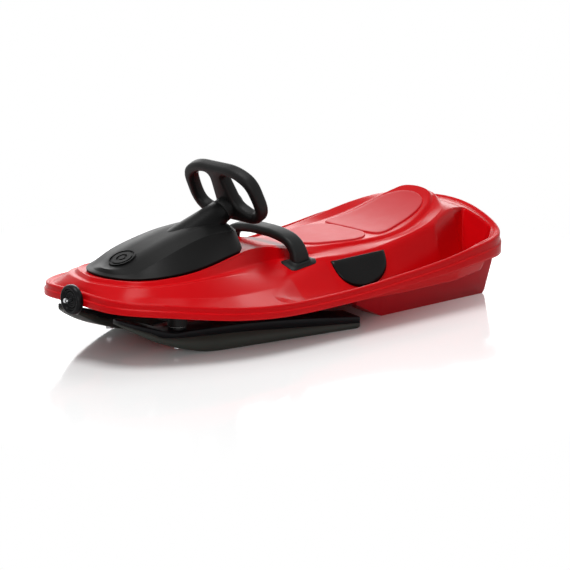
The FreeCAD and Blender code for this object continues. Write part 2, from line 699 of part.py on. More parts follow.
def toed(piece):
    """A left ski piece turned about the kingpin, so that the tips stand closer than the heels."""
    turned = piece.copy()
    turned.rotate(V(KINGPIN_X, SKI_Y, 0), V(0, 0, 1), -SKI_TOE)
    return turned


def ski():
    """Left ski: a channel with a solid tip and a boss for the kingpin."""
    half = SKI_WIDTH / 2
    tip = SKI_FRONT_X - SKI_TIP_LENGTH
    straight = box(SKI_REAR_X, tip, SKI_Y - half, SKI_Y + half, -OVERRUN, SKI_TIP_HEIGHT + OVERRUN)
    nose = upright(tip, SKI_Y, -OVERRUN, SKI_TIP_HEIGHT + OVERRUN, half)
    block = ski_block(0, 0, half).common(straight.fuse(nose))
    boss = upright(KINGPIN_X, SKI_Y, KINGPIN_BOTTOM_Z - SKI_WALL / 2, SKI_BOSS_TOP_Z, KINGPIN_BOSS_RADIUS)
    return toed(block.cut(ski_room(SKI_WALL, OVERRUN)).fuse(boss).cut(kingpin()))


def ski_room(lift, rise, margin=0):
    """The room in the ski's channel, between its floor or a lift above it and a rise over the top."""
    half = SKI_WIDTH / 2 - SKI_WALL - margin
    front = SKI_FRONT_X - 2 * SKI_TIP_LENGTH - margin
    reach = box(
        SKI_REAR_X + SKI_WALL + margin, front, SKI_Y - half, SKI_Y + half, -OVERRUN, SKI_TIP_HEIGHT * 2,
    )
    return ski_block(lift, rise, half).common(reach)


def ski_cover():
    """Plate that closes the channel, flush with the ski's top and open round the kingpin boss."""
    plate = ski_room(SKI_WALL, 0, SEAT_GAP).cut(ski_room(SKI_WALL, -SKI_COVER_THICKNESS))
    return toed(plate.cut(upright(KINGPIN_X, SKI_Y, 0, SKI_TIP_HEIGHT, KINGPIN_BOSS_RADIUS + SEAT_GAP)))


def kingpin():
    return upright(KINGPIN_X, SKI_Y, KINGPIN_BOTTOM_Z, KINGPIN_TOP_Z, KINGPIN_RADIUS)


def thrust_washer():
    ring = upright(KINGPIN_X, SKI_Y, SKI_BOSS_TOP_Z, SKI_BOSS_TOP_Z + WASHER_THICKNESS, KINGPIN_BOSS_RADIUS)
    return ring.cut(kingpin())


def kingpin_nut():
    return hexagon(KINGPIN_X, SKI_Y, ARM_TOP_Z, NUT_HEIGHT, NUT_RADIUS).cut(kingpin())


def kingpin_bush():
    bush = upright(KINGPIN_X, SKI_Y, BEAM_BOTTOM_Z, BEAM_TOP_Z, KINGPIN_RADIUS + BUSH_WALL)
    return bush.cut(upright(
        KINGPIN_X, SKI_Y, BEAM_BOTTOM_Z - OVERRUN, BEAM_TOP_Z + OVERRUN, KINGPIN_RADIUS + RUNNING_CLEARANCE,
    ))


def steering_arm():
    half = ARM_WIDTH / 2
    arm = box(TIE_X, KINGPIN_X, SKI_Y - half, SKI_Y + half, ARM_BOTTOM_Z, ARM_TOP_Z)
    rear = upright(TIE_X, SKI_Y, ARM_BOTTOM_Z, ARM_TOP_Z, half)
    hub = upright(KINGPIN_X, SKI_Y, BEAM_TOP_Z + SEAT_GAP, ARM_TOP_Z, KINGPIN_RADIUS + half / 2)
    return arm.fuse([rear, hub]).cut([kingpin(), arm_pin()])


def arm_pin():
    return upright(TIE_X, SKI_Y, TIE_BAR_BOTTOM_Z - ARM_PIN_TAIL, ARM_TOP_Z, ARM_PIN_RADIUS)


def ski_beam(deck):
    """Beam under the deck that carries both kingpins; its posts end on the deck's underside."""
    half = BEAM_WIDTH / 2
    beam = box(KINGPIN_X - half, KINGPIN_X + half, -SKI_Y, SKI_Y, BEAM_WEB_BOTTOM_Z, BEAM_WEB_TOP_Z)
    post = BEAM_POST_WIDTH / 2
    for side in SIDES:
        y = side * BEAM_POST_Y
        beam = beam.fuse(upright(KINGPIN_X, side * SKI_Y, BEAM_BOTTOM_Z, BEAM_TOP_Z, BEAM_BOSS_RADIUS))
        beam = beam.fuse(box(
            KINGPIN_X - post, KINGPIN_X + post, y - post, y + post, BEAM_WEB_BOTTOM_Z, HOOD_DECK_Z - WALL / 2,
        ))
    bores = []
    for side in SIDES:
        y = side * SKI_Y
        bores.append(upright(
            KINGPIN_X, y, BEAM_BOTTOM_Z - OVERRUN, BEAM_TOP_Z + OVERRUN, KINGPIN_RADIUS + BUSH_WALL,
        ))
    return beam.cut(bores + [deck] + beam_bolts())


def beam_bolts():
    length = HOOD_DECK_Z - BEAM_WEB_TOP_Z
    bolts = []
    for side in SIDES:
        place = V(KINGPIN_X, side * BEAM_POST_Y, HOOD_DECK_Z)
        bolts.append(screw(place, V(0, 0, -1), length, BOLT_RADIUS, BOLT_HEAD_RADIUS, BOLT_HEAD_HEIGHT))
    return bolts


# Brake: places on the handle are given as side and reach from the pivot, in a plane that leans forward
LEAN = math.radians(BRAKE_LEAN)


def on_brake(side, reach):
    return V(BRAKE_X + reach * math.sin(LEAN), side, BRAKE_Z + reach * math.cos(LEAN))


def brake_handle():
    half = BRAKE_BAND_WIDTH / 2
    thick = BRAKE_BAND_THICKNESS / 2
    left = [
        (BRAKE_LEG_Y, 0), (BRAKE_LEG_Y, BRAKE_LEG_REACH),
        (BRAKE_SHOULDER_Y, BRAKE_SHOULDER_REACH), (BRAKE_CROWN_Y, BRAKE_ARCH_REACH),
    ]
    path = rounded_wire([on_brake(*place) for place in left + other_side(left)], BRAKE_BEND_RADIUS)
    across = V(math.cos(LEAN), 0, -math.sin(LEAN))
    start = on_brake(BRAKE_LEG_Y, 0)
    corners = [(half, thick), (-half, thick), (-half, -thick), (half, -thick)]
    profile = rounded_wire([start + across * a + V(0, b, 0) for a, b in corners], BRAKE_BAND_CORNER, True)
    handle = swept(path, profile)
    for side in SIDES:
        y = side * BRAKE_LEG_Y
        handle = handle.fuse(cross_rod(BRAKE_X, BRAKE_Z, y - thick, y + thick, BRAKE_EYE_RADIUS))
    bore = cross_rod(BRAKE_X, BRAKE_Z, -HALF_WIDTH, HALF_WIDTH, BRAKE_ROD_RADIUS + RUNNING_CLEARANCE)
    return handle.cut([bore] + claw_bolts())


def brake_claw(side):
    """Steel strip from the handle's eye back and down to its digging tip."""
    half = CLAW_WIDTH / 2
    rear = BRAKE_X - CLAW_REACH
    corners = [
        (BRAKE_X, BRAKE_Z + half), (rear, BRAKE_Z + half), (rear, CLAW_TIP_Z), (rear + half, CLAW_TIP_Z),
        (rear + CLAW_WIDTH, BRAKE_Z - half), (BRAKE_X, BRAKE_Z - half),
    ]
    points = [V(x, CLAW_INNER_Y, z) for x, z in corners]
    strip = Part.Face(Part.makePolygon(points + points[:1])).extrude(V(0, CLAW_THICKNESS, 0))
    strip = strip.fuse(cross_rod(BRAKE_X, BRAKE_Z, CLAW_INNER_Y, BRAKE_LEG_INNER_Y, BRAKE_EYE_RADIUS))
    bore = cross_rod(BRAKE_X, BRAKE_Z, 0, HALF_WIDTH, BRAKE_ROD_RADIUS + RUNNING_CLEARANCE)
    claw = strip.cut(bore)
    claw = claw if side > 0 else mirrored(claw)
    return claw.cut(claw_bolts())


def claw_bolts():
    """Bolts that hold each claw to the inner face of its handle leg."""
    bolts = []
    for side in SIDES:
        place = V(BRAKE_X - BRAKE_ROD_RADIUS * 2, side * CLAW_INNER_Y, BRAKE_Z)
        bolts.append(screw(place, V(0, side, 0), BRAKE_BAND_THICKNESS / 2 + CLAW_THICKNESS))
    return bolts


def brake_rod():
    end = BRAKE_LEG_OUTER_Y + SEAT_GAP + CLIP_THICKNESS * 2
    return cross_rod(BRAKE_X, BRAKE_Z, -end, end, BRAKE_ROD_RADIUS)


def rod_clips():
    clips = []
    for side in SIDES:
        y = side * (BRAKE_LEG_OUTER_Y + SEAT_GAP + CLIP_THICKNESS / 2)
        ring = cross_rod(
            BRAKE_X, BRAKE_Z, y - CLIP_THICKNESS / 2, y + CLIP_THICKNESS / 2, BRAKE_ROD_RADIUS + CLIP_WIDTH,
        )
        clips.append(ring.cut(brake_rod()))
    return clips


def brake_spring():
    """Return spring, wound round the pivot rod and shown as its sleeve."""
    outer = BRAKE_ROD_RADIUS + SEAT_GAP + SPRING_WALL
    end = HANGER_Y - HANGER_THICKNESS / 2
    sleeve = cross_rod(BRAKE_X, BRAKE_Z, -end, end, outer)
    return sleeve.cut(cross_rod(BRAKE_X, BRAKE_Z, -HALF_WIDTH, HALF_WIDTH, BRAKE_ROD_RADIUS + SEAT_GAP))


def brake_hanger(side, deck):
    """Plate that hangs the pivot rod from the deck's underside."""
    half = HANGER_WIDTH / 2
    outer = HANGER_Y + HANGER_THICKNESS / 2
    plate = box(
        BRAKE_X - half, BRAKE_X + half, outer - HANGER_THICKNESS, outer, BRAKE_Z - half, HANGER_TOP_Z,
    )
    flange = box(
        BRAKE_X - half, BRAKE_X + half, HANGER_FLANGE_INNER_Y, outer, HANGER_FLANGE_Z, HANGER_TOP_Z,
    )
    hanger = plate.fuse(flange)
    hanger = hanger if side > 0 else mirrored(hanger)
    return lowest(hanger.cut([deck, brake_rod()] + hanger_screws()))


def hanger_screws():
    places_below = [V(BRAKE_X, side * HANGER_SCREW_Y, HANGER_FLANGE_Z) for side in SIDES]
    return [screw(place, V(0, 0, 1), HANGER_SCREW_LENGTH) for place in places_below]


def rear_tub(deck):
    """Two hollow runner rails, joined by a web behind the brake claws, with posts up to the deck."""
    tub = box(
        TUB_SHARES[2][0] * HALF_LENGTH, TUB_WEB_FRONT_X, -RAIL_INNER_Y - WALL, RAIL_INNER_Y + WALL,
        TUB_WEB_Z - WALL, TUB_WEB_Z,
    )
    for x, y in tub_post_places():
        post = upright(x, y, TUB_WEB_Z, SEAT_HEIGHT, TUB_POST_RADIUS)
        tub = tub.fuse(lowest(post.cut(deck)))
    for side in SIDES:
        tub = tub.fuse(rail(side, 0).cut(rail(side, WALL))).cut(well(side, WALL))
    return tub.cut(tub_screws(deck))


def lowest(shape):
    """The lowest of the pieces that a cut leaves."""
    return min(shape.Solids, key=lambda piece: piece.BoundBox.ZMin)


def rail(side, shrink):
    """One runner rail, or the room inside it when it is shrunk by a wall."""
    wires = []
    top = TUB_TOP_Z + (OVERRUN if shrink else 0)
    outer_top = RAIL_OUTER_BOTTOM_Y + (RAIL_OUTER_TOP_Y - RAIL_OUTER_BOTTOM_Y) * top / TUB_TOP_Z
    for index, (station, bottom) in enumerate(TUB_SHARES):
        x = station * HALF_LENGTH
        if index == 0:
            x -= shrink
        if index == len(TUB_SHARES) - 1:
            x += shrink
        low = bottom * SEAT_HEIGHT + shrink
        corners = [
            V(x, side * (RAIL_INNER_Y + shrink), low),
            V(x, side * (RAIL_OUTER_BOTTOM_Y - shrink), low),
            V(x, side * (outer_top - shrink), top),
            V(x, side * (RAIL_INNER_Y + shrink), top),
        ]
        wires.append(Part.makePolygon(corners + corners[:1]))
    return Part.makeLoft(wires, True, True)


def tub_post_places():
    return [(x * HALF_LENGTH, side * y * HALF_WIDTH) for x, y in TUB_POST_SHARES for side in SIDES]


def tub_screws(deck):
    """Long screws from under the web, through the posts and into the deck."""
    screws = []
    for x, y in tub_post_places():
        plumb = Part.makeLine(V(x, y, TUB_WEB_Z), V(x, y, SEAT_HEIGHT + OVERRUN))
        underside = deck.common(plumb).BoundBox.ZMin
        bottom = TUB_WEB_Z - WALL
        screws.append(screw(V(x, y, bottom), V(0, 0, 1), underside + WALL / 2 - bottom))
    return screws


def side_grip(side):
    """D-shaped grip that lies on the flank of the seat, its straight edge along the ridge."""
    middle_x = (GRIP_FRONT_X + GRIP_REAR_X) / 2
    middle_z = (GRIP_FRONT_Z + GRIP_REAR_Z) / 2
    front = V(GRIP_FRONT_X, 0, GRIP_FRONT_Z)
    rear = V(GRIP_REAR_X, 0, GRIP_REAR_Z)
    bow = Part.Arc(front, V(middle_x, 0, middle_z - GRIP_DEPTH), rear).toShape()
    face = Part.Face(Part.Wire([bow, Part.makeLine(rear, front)]))
    prism = face.extrude(V(0, side * RAIL_OUTER_TOP_Y, 0))
    flank = well(side, 0)
    beyond = flank.copy()
    beyond.translate(V(0, side * GRIP_THICKNESS, 0))
    return prism.common(flank).cut(beyond)


def nose_face_x():
    return hull_lines()[0][0].x


def nose_inner_x():
    return hull_lines()[3][0].x - WALL


def tow_fairlead():
    """Round black guide on the nose, with a rounded edge and a dished face."""
    x = nose_face_x()
    disc = Part.makeCylinder(FAIRLEAD_RADIUS, FAIRLEAD_DEPTH, V(x, 0, FAIRLEAD_Z), V(1, 0, 0))
    rim = [edge for edge in disc.Edges if edge.BoundBox.XMin > x and edge.Closed]
    disc = disc.makeFillet(FAIRLEAD_DEPTH / 3, rim[:1])
    front = x + FAIRLEAD_DEPTH
    dish = Part.makeCone(
        FAIRLEAD_DISH_RADIUS / 2, FAIRLEAD_DISH_RADIUS, FAIRLEAD_DISH_DEPTH,
        V(front - FAIRLEAD_DISH_DEPTH, 0, FAIRLEAD_Z), V(1, 0, 0),
    )
    bore = Part.makeCylinder(
        HOOK_WIRE_RADIUS + RUNNING_CLEARANCE, FAIRLEAD_DEPTH * 2, V(x - OVERRUN, 0, FAIRLEAD_Z), V(1, 0, 0)
    )
    return disc.cut([dish, bore])


def tow_hook():
    """Steel shank through the fairlead with a small eye for a tow cord."""
    rear = nose_inner_x() - SEAT_GAP - HOOK_NUT_HEIGHT - CLIP_THICKNESS
    eye_x = HALF_LENGTH - HOOK_EYE_RADIUS
    shank = Part.makeCylinder(HOOK_WIRE_RADIUS, eye_x - rear, V(rear, 0, FAIRLEAD_Z), V(1, 0, 0))
    eye = cross_rod(eye_x, FAIRLEAD_Z, -HOOK_WIRE_RADIUS, HOOK_WIRE_RADIUS, HOOK_EYE_RADIUS)
    return shank.fuse(eye).cut(cross_rod(eye_x, FAIRLEAD_Z, -OVERRUN, OVERRUN, HOOK_EYE_BORE))


def tow_nut():
    x = nose_inner_x() - SEAT_GAP - HOOK_NUT_HEIGHT
    nut = Part.makeCylinder(HOOK_NUT_RADIUS, HOOK_NUT_HEIGHT, V(x, 0, FAIRLEAD_Z), V(1, 0, 0))
    return nut.cut(tow_hook())


def leg_slot(side, grow):
    """Upright block round a brake leg and its travel, grown by a margin."""
    inner, outer = sorted((
        side * (BRAKE_LEG_INNER_Y - SLOT_INNER_CLEARANCE - grow),
        side * (BRAKE_LEG_OUTER_Y + SLOT_CLEARANCE + grow),
    ))
    return box(
        BRAKE_X - SLOT_REAR_REACH - grow, BRAKE_X + SLOT_FRONT_REACH + grow,
        inner, outer, BRAKE_Z, SEAT_HEIGHT,
    )


def leg_frame(side, deck):
    """Flange on the deck round the slot of a brake leg, as thick as the foot it stands for."""
    layer = deck.copy()
    layer.translate(V(0, 0, FOOT_THICKNESS))
    return leg_slot(side, FOOT_FLANGE).common(layer).cut([deck, leg_slot(side, 0)])


def finished_deck(deck):
    """The upper hull with its openings, slots and screw holes."""
    opening = box(
        DECK_OPENING_REAR_X, DECK_OPENING_FRONT_X, -DECK_OPENING_HALF_WIDTH, DECK_OPENING_HALF_WIDTH,
        0, SEAT_HEIGHT,
    )
    cuts = [opening]
    cuts += [leg_slot(side, 0) for side in SIDES]
    hook_hole = V(nose_face_x() - OVERRUN, 0, FAIRLEAD_Z)
    cuts.append(Part.makeCylinder(HOOK_WIRE_RADIUS + RUNNING_CLEARANCE, OVERRUN * 2, hook_hole, V(1, 0, 0)))
    fasteners = beam_bolts() + bracket_screws() + hood_screws() + tub_screws(deck) + hanger_screws()
    return deck.cut(cuts + fasteners)


def save(name, solids):
    """Writes one piece, or a group of like pieces, as a node."""
    shape = Part.Compound(solids) if isinstance(solids, list) else solids
    shape.exportStep("parts/" + name + ".step")
    print(name, shape.isValid(), len(shape.Solids), round(shape.Volume))


def main():
    os.makedirs("parts", exist_ok=True)
    bare_deck = upper_hull()
    deck = finished_deck(bare_deck)
    pieces = {
        "deck_shell": deck,
        "rear_tub": rear_tub(bare_deck),
        "tub_screws": tub_screws(bare_deck),
        "hood": hood().cut([deck, hood_badge()] + hood_screws()),
        "hood_badge": hood_badge(),
        "hood_screws": hood_screws(),
        "column_bracket": column_bracket().cut([deck] + bracket_screws()),
        "bracket_screws": bracket_screws(),
        "column_bush_upper": column_bush(UPPER_BUSH_START),
        "column_bush_lower": column_bush(LOWER_BUSH_START),
        "steering_wheel": steering_wheel(),
        "wheel_bolt": wheel_bolt(),
        "steering_shaft": steering_shaft(),
        "shaft_clip": shaft_clip(),
        "column_crank": column_crank(),
        "tie_rod": tie_rod(),
        "ski_beam": ski_beam(deck),
        "beam_bolts": beam_bolts(),
        "brake_handle": brake_handle(),
        "claw_bolts": claw_bolts(),
        "brake_rod": brake_rod(),
        "rod_clips": rod_clips(),
        "hanger_screws": hanger_screws(),
        "brake_spring": brake_spring(),
        "tow_fairlead": tow_fairlead(),
        "tow_hook": tow_hook(),
        "tow_nut": tow_nut(),
    }
    for side, name in zip(SIDES, ("left", "right")):
        pieces["side_grip_" + name] = side_grip(side)
        pieces["brake_claw_" + name] = brake_claw(side)
        pieces["brake_hanger_" + name] = brake_hanger(side, deck)
        pieces["leg_frame_" + name] = leg_frame(side, bare_deck)
        for label, make in (
            ("ski", ski), ("ski_cover", ski_cover), ("kingpin", kingpin), ("thrust_washer", thrust_washer),
            ("kingpin_nut", kingpin_nut), ("kingpin_bush", kingpin_bush),
            ("steering_arm", steering_arm), ("arm_pin", arm_pin),
        ):
            pieces[label + "_" + name] = make() if side > 0 else mirrored(make())
    for name, solids in pieces.items():
        save(name, solids)


main()
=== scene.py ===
import json
import math

import bmesh
import bpy
import numpy as np
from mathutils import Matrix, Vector
from mathutils.bvhtree import BVHTree


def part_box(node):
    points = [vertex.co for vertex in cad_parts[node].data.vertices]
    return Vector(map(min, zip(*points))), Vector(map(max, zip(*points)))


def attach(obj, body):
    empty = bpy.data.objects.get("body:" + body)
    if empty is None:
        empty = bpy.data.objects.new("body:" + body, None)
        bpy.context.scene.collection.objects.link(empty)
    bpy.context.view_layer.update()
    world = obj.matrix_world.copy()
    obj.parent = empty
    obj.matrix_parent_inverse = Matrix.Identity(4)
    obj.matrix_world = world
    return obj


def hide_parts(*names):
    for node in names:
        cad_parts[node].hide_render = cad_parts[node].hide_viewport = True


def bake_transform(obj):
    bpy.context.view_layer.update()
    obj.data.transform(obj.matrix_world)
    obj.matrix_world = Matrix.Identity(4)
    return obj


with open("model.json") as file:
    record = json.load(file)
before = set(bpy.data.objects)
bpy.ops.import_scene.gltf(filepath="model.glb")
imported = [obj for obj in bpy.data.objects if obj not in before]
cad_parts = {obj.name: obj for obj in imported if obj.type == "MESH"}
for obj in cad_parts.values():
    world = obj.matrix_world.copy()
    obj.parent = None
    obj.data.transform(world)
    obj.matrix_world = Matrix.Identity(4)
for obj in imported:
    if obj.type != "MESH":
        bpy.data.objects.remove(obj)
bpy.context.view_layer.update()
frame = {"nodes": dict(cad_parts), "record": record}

# Sled in metres, +X to the nose, +Y to the rider's left, +Z up
HALF_LENGTH = 0.584
HALF_WIDTH = 0.270
SEAT_HEIGHT = 0.238
SHELL_WALL = 0.0035

# Rim of the hull
TAIL_BAND_HEIGHT = 0.058
RIM_STEP = 0.0035
RIM_STEP_RISE = 0.002
RIM_STEP_SHARE = 0.5
LIP_WIDTH = 0.013
LIP_CROWN = 0.003

# Hull lines, front to rear on the left side, as shares of half length, half width and seat height
RIM_SHARES = [
    (0.946, 0.141, 0.611), (0.932, 0.410, 0.600), (0.787, 0.718, 0.563), (0.565, 0.926, 0.492),
    (0.325, 0.996, 0.441), (0.103, 1.000, 0.433), (-0.103, 1.000, 0.450), (-0.308, 0.996, 0.487),
    (-0.531, 0.993, 0.540), (-0.740, 0.974, 0.612), (-0.890, 0.865, 0.660), (-0.966, 0.526, 0.769),
    (-0.994, 0.180, 0.832),
]
BAND_SHARES = [0.45, 0.45, 0.45, 0.45, 0.44, 0.43, 0.45, 0.48, 0.55, 0.68, 0.80, 0.92, 1.00]
SHOULDER_SHARES = [
    (0.913, 0.111, 0.640), (0.882, 0.375, 0.630), (0.742, 0.590, 0.592), (0.540, 0.700, 0.535),
    (0.308, 0.680, 0.505), (0.103, 0.667, 0.500), (-0.103, 0.704, 0.504), (-0.274, 0.741, 0.513),
    (-0.497, 0.759, 0.570), (-0.690, 0.745, 0.670), (-0.835, 0.640, 0.750), (-0.900, 0.420, 0.808),
    (-0.925, 0.180, 0.828),
]
RIDGE_SHARES = [
    (0.892, 0.093, 0.686), (0.850, 0.350, 0.684), (0.715, 0.515, 0.676), (0.530, 0.565, 0.674),
    (0.308, 0.470, 0.625), (0.103, 0.420, 0.590), (-0.068, 0.467, 0.634), (-0.223, 0.548, 0.634),
    (-0.462, 0.563, 0.706), (-0.651, 0.526, 0.800), (-0.762, 0.425, 0.866), (-0.815, 0.310, 0.890),
    (-0.842, 0.170, 0.899),
]
COLLAR_SHARES = [
    (0.866, 0.067, 0.725), (0.824, 0.305, 0.721), (0.700, 0.440, 0.716), (0.530, 0.468, 0.742),
    (0.308, 0.350, 0.784), (0.120, 0.267, 0.772), (-0.068, 0.289, 0.664), (-0.214, 0.363, 0.660),
    (-0.449, 0.430, 0.680), (-0.637, 0.393, 0.766), (-0.748, 0.318, 0.868), (-0.798, 0.235, 0.930),
    (-0.825, 0.125, 0.966),
]
TOP_SHARES = [
    (0.852, 0.059, 0.706), (0.808, 0.280, 0.706), (0.690, 0.414, 0.706), (0.526, 0.440, 0.706),
    (0.312, 0.322, 0.706), (0.127, 0.230, 0.776), (-0.086, 0.230, 0.697), (-0.219, 0.333, 0.693),
    (-0.449, 0.400, 0.709), (-0.634, 0.363, 0.792), (-0.738, 0.294, 0.891), (-0.787, 0.218, 0.958),
    (-0.812, 0.115, 1.000),
]

# Step at the foot of the collar, full round the hood and none round the seat
COLLAR_STEP = 0.031
COLLAR_STEP_WIDTH = 0.008
COLLAR_STEP_SHARES = [0.30, 0.30, 0.38, 0.58, 1.0, 1.0, 0.25, 0.05, 0.0, 0.0, 0.0, 0.0, 0.0]

# Leg wells: station, inner and outer floor edge, ridge edge and its height, lip edge and its height, floor
WELL_SHARES = [
    (0.380, 0.830, 0.881, 0.770, 0.700, 0.941, 0.650, 0.640),
    (0.291, 0.830, 0.881, 0.770, 0.496, 0.941, 0.445, 0.420),
    (0.120, 0.770, 0.867, 0.519, 0.597, 0.952, 0.433, 0.311),
    (-0.086, 0.748, 0.859, 0.496, 0.622, 0.952, 0.441, 0.269),
    (-0.377, 0.748, 0.859, 0.585, 0.693, 0.948, 0.496, 0.261),
    (-0.651, 0.700, 0.850, 0.556, 0.840, 0.930, 0.576, 0.269),
    (-0.822, 0.560, 0.780, 0.430, 0.866, 0.866, 0.638, 0.290),
    (-0.905, 0.400, 0.590, 0.360, 0.880, 0.730, 0.700, 0.300),
]
WELL_SCALES = (
    HALF_LENGTH, HALF_WIDTH, HALF_WIDTH, HALF_WIDTH, SEAT_HEIGHT, HALF_WIDTH, SEAT_HEIGHT, SEAT_HEIGHT,
)
WELL_REAR_FLOOR_SHARE = -0.862
WELL_REAR_TOP_SHARE = -0.915
WELL_REAR_RISE_SHARE = 0.45
WELL_ROUNDING = 0.030
EDGE_ROUNDING = 0.010

# Mesh fineness, the most of a run that a rounded corner takes up, and the distance at which points are joined
FILLET_STEPS = 4
CORNER_STEPS = 6
LATHE_STEPS = 96
ROUNDING_SHARE = 0.45
WELD = 0.00002

# Height above the sled from which places on its surface are looked up
CAST_HEIGHT = 1.0

# Sideways part of an axis above which it counts as running across the sled
ACROSS_LIMIT = 0.9


def places(shares):
    """Points of a line from its shares."""
    return np.array(shares) * (HALF_LENGTH, HALF_WIDTH, SEAT_HEIGHT)


def mirrored(points):
    """Points of the other side."""
    return points * (1, -1, 1)


def inset(points, distance, rise=0):
    """Moves a line inwards in plan and up."""
    chain = np.vstack([mirrored(points[:1]), points, mirrored(points[-1:])])
    along = (chain[2:] - chain[:-2])[:, :2]
    along /= np.linalg.norm(along, axis=1)[:, None]
    moved = points.copy()
    moved[:, 0] -= along[:, 1] * distance
    moved[:, 1] += along[:, 0] * distance
    moved[:, 2] += rise
    return moved


def closed_knots(ring):
    """Distances along a closed line, from 0 to 1."""
    steps = np.linalg.norm(np.roll(ring, -1, axis=0) - ring, axis=1)
    return np.concatenate([[0], np.cumsum(steps)]) / steps.sum()


def hermite(t, start, leave, stop, arrive):
    """A cubic between two points, with its slopes at both ends."""
    return (
        start * (2 * t ** 3 - 3 * t ** 2 + 1) + leave * (t ** 3 - 2 * t ** 2 + t)
        + stop * (3 * t ** 2 - 2 * t ** 3) + arrive * (t ** 3 - t ** 2)
    )


def closed_curve(ring, knots, at):
    """Smooth closed curve through the points of a ring."""
    count = len(ring)
    steps = np.diff(knots)
    before = np.roll(steps, 1)
    slopes = (np.roll(ring, -1, axis=0) - ring) / steps[:, None]
    system = np.zeros((count, count))
    for index in range(count):
        system[index, index - 1] = steps[index]
        system[index, index] = 2 * (before[index] + steps[index])
        system[index, (index + 1) % count] = before[index]
    known = 3 * (steps[:, None] * np.roll(slopes, 1, axis=0) + before[:, None] * slopes)
    tangents = np.linalg.solve(system, known)
    span = np.clip(np.searchsorted(knots, at, side="right") - 1, 0, count - 1)
    after = (span + 1) % count
    width = steps[span][:, None]
    t = (at - knots[span])[:, None] / width
    return hermite(t, ring[span], tangents[span] * width, ring[after], tangents[after] * width)


def whole_ring(points):
    """The left line followed by its mirror image, as one closed ring."""
    return np.vstack([points, mirrored(points)[::-1]])


def corner_ends(before, corner, after, radius):
    """The lines where the rounding of a corner line starts and ends."""
    back = before - corner
    ahead = after - corner
    back_length = np.linalg.norm(back, axis=1)[:, None]
    ahead_length = np.linalg.norm(ahead, axis=1)[:, None]
    reach = np.minimum(radius, np.minimum(back_length, ahead_length) * ROUNDING_SHARE)
    start = corner + back / np.maximum(back_length, WELD) * reach
    end = corner + ahead / np.maximum(ahead_length, WELD) * reach
    return start, end


def rounded_profile(lines, radii, cuts):
    """Dense lines from corner lines: each corner is rounded by its radius and each run is cut into parts."""
    dense = [lines[0]]
    marks = [0]
    last = len(lines) - 1
    for index in range(1, len(lines)):
        start = dense[-1]
        corner = lines[index]
        stop = corner
        if index < last:
            stop, leave = corner_ends(lines[index - 1], corner, lines[index + 1], radii[index])
        for step in range(1, cuts[index - 1] + 1):
            dense.append(start + (stop - start) * step / cuts[index - 1])
            marks.append(index - 1 + step / cuts[index - 1])
        if index < last:
            for step in range(1, FILLET_STEPS + 1):
                t = step / FILLET_STEPS
                dense.append(stop * (1 - t) ** 2 + corner * 2 * t * (1 - t) + leave * t ** 2)
                marks.append(index)
    return np.stack(dense, axis=1), np.array(marks)


def ring_shell(lines, lead, radii, cuts, steps):
    """Dense lines of a shell that closes at the middle plane, with even steps along its leading line."""
    knots = closed_knots(whole_ring(lead))
    at = (np.arange(steps) + 0.5) / steps
    at = (at + knots[-2] + (1 - knots[-2]) / 2) % 1
    dense, marks = rounded_profile([closed_curve(whole_ring(line), knots, at) for line in lines], radii, cuts)
    dense[:, -1, 1] = 0
    return dense, marks


def smooth_min(a, b, width):
    """The lesser of two values, rounded off where they are close."""
    share = np.clip(0.5 + 0.5 * (b - a) / width, 0, 1)
    return b * (1 - share) + a * share - width * share * (1 - share)


def smooth_max(a, b, width):
    """The greater of two values, rounded off where they are close."""
    return -smooth_min(-a, -b, width)


def placed(name, data):
    """A new object in the scene."""
    piece = bpy.data.objects.new(name, data)
    bpy.context.scene.collection.objects.link(piece)
    return piece


def smooth_faces(mesh, material):
    """Smooth shading and one material for a whole mesh."""
    mesh.polygons.foreach_set("use_smooth", [True] * len(mesh.polygons))
    mesh.materials.append(material)


def new_object(name, points, faces, material):
    """A smooth mesh object with its doubled points joined."""
    mesh = bpy.data.meshes.new(name)
    mesh.from_pydata([tuple(point) for point in points], [], faces)
    work = bmesh.new()
    work.from_mesh(mesh)
    bmesh.ops.remove_doubles(work, verts=work.verts, dist=WELD)
    bmesh.ops.dissolve_degenerate(work, edges=work.edges, dist=WELD)
    bmesh.ops.recalc_face_normals(work, faces=work.faces)
    work.to_mesh(mesh)
    work.free()
    smooth_faces(mesh, material)
    return placed(name, mesh)


def skin(grid, close_rows=True, close_columns=False):
    """Points and four-sided faces over a grid of rows and columns."""
    rows, columns = grid.shape[:2]
    faces = []
    for row in range(rows if close_rows else rows - 1):
        below = (row + 1) % rows
        for column in range(columns if close_columns else columns - 1):
            beside = (column + 1) % columns
            faces.append((
                row * columns + column, row * columns + beside,
                below * columns + beside, below * columns + column,
            ))
    return grid.reshape(-1, 3), faces


def capped(grid):
    """Points and faces of a closed run of sections, with both ends shut."""
    points, faces = skin(grid, close_rows=False, close_columns=True)
    rows, columns = grid.shape[:2]
    points = np.vstack([points, grid[0].mean(axis=0), grid[-1].mean(axis=0)])
    for row, middle in ((0, rows * columns), (rows - 1, rows * columns + 1)):
        for column in range(columns):
            faces.append((row * columns + column, row * columns + (column + 1) % columns, middle))
    return points, faces


def smooth_line(rows, steps):
    """Smooth open line through rows of a table."""
    rows = np.array(rows, float)
    slopes = np.gradient(rows, axis=0)
    t = np.linspace(0, 1, steps, endpoint=False)[:, None]
    runs = []
    for start, stop, leave, arrive in zip(rows, rows[1:], slopes, slopes[1:]):
        runs.append(hermite(t, start, leave, stop, arrive))
    return np.vstack(runs + [rows[-1:]])


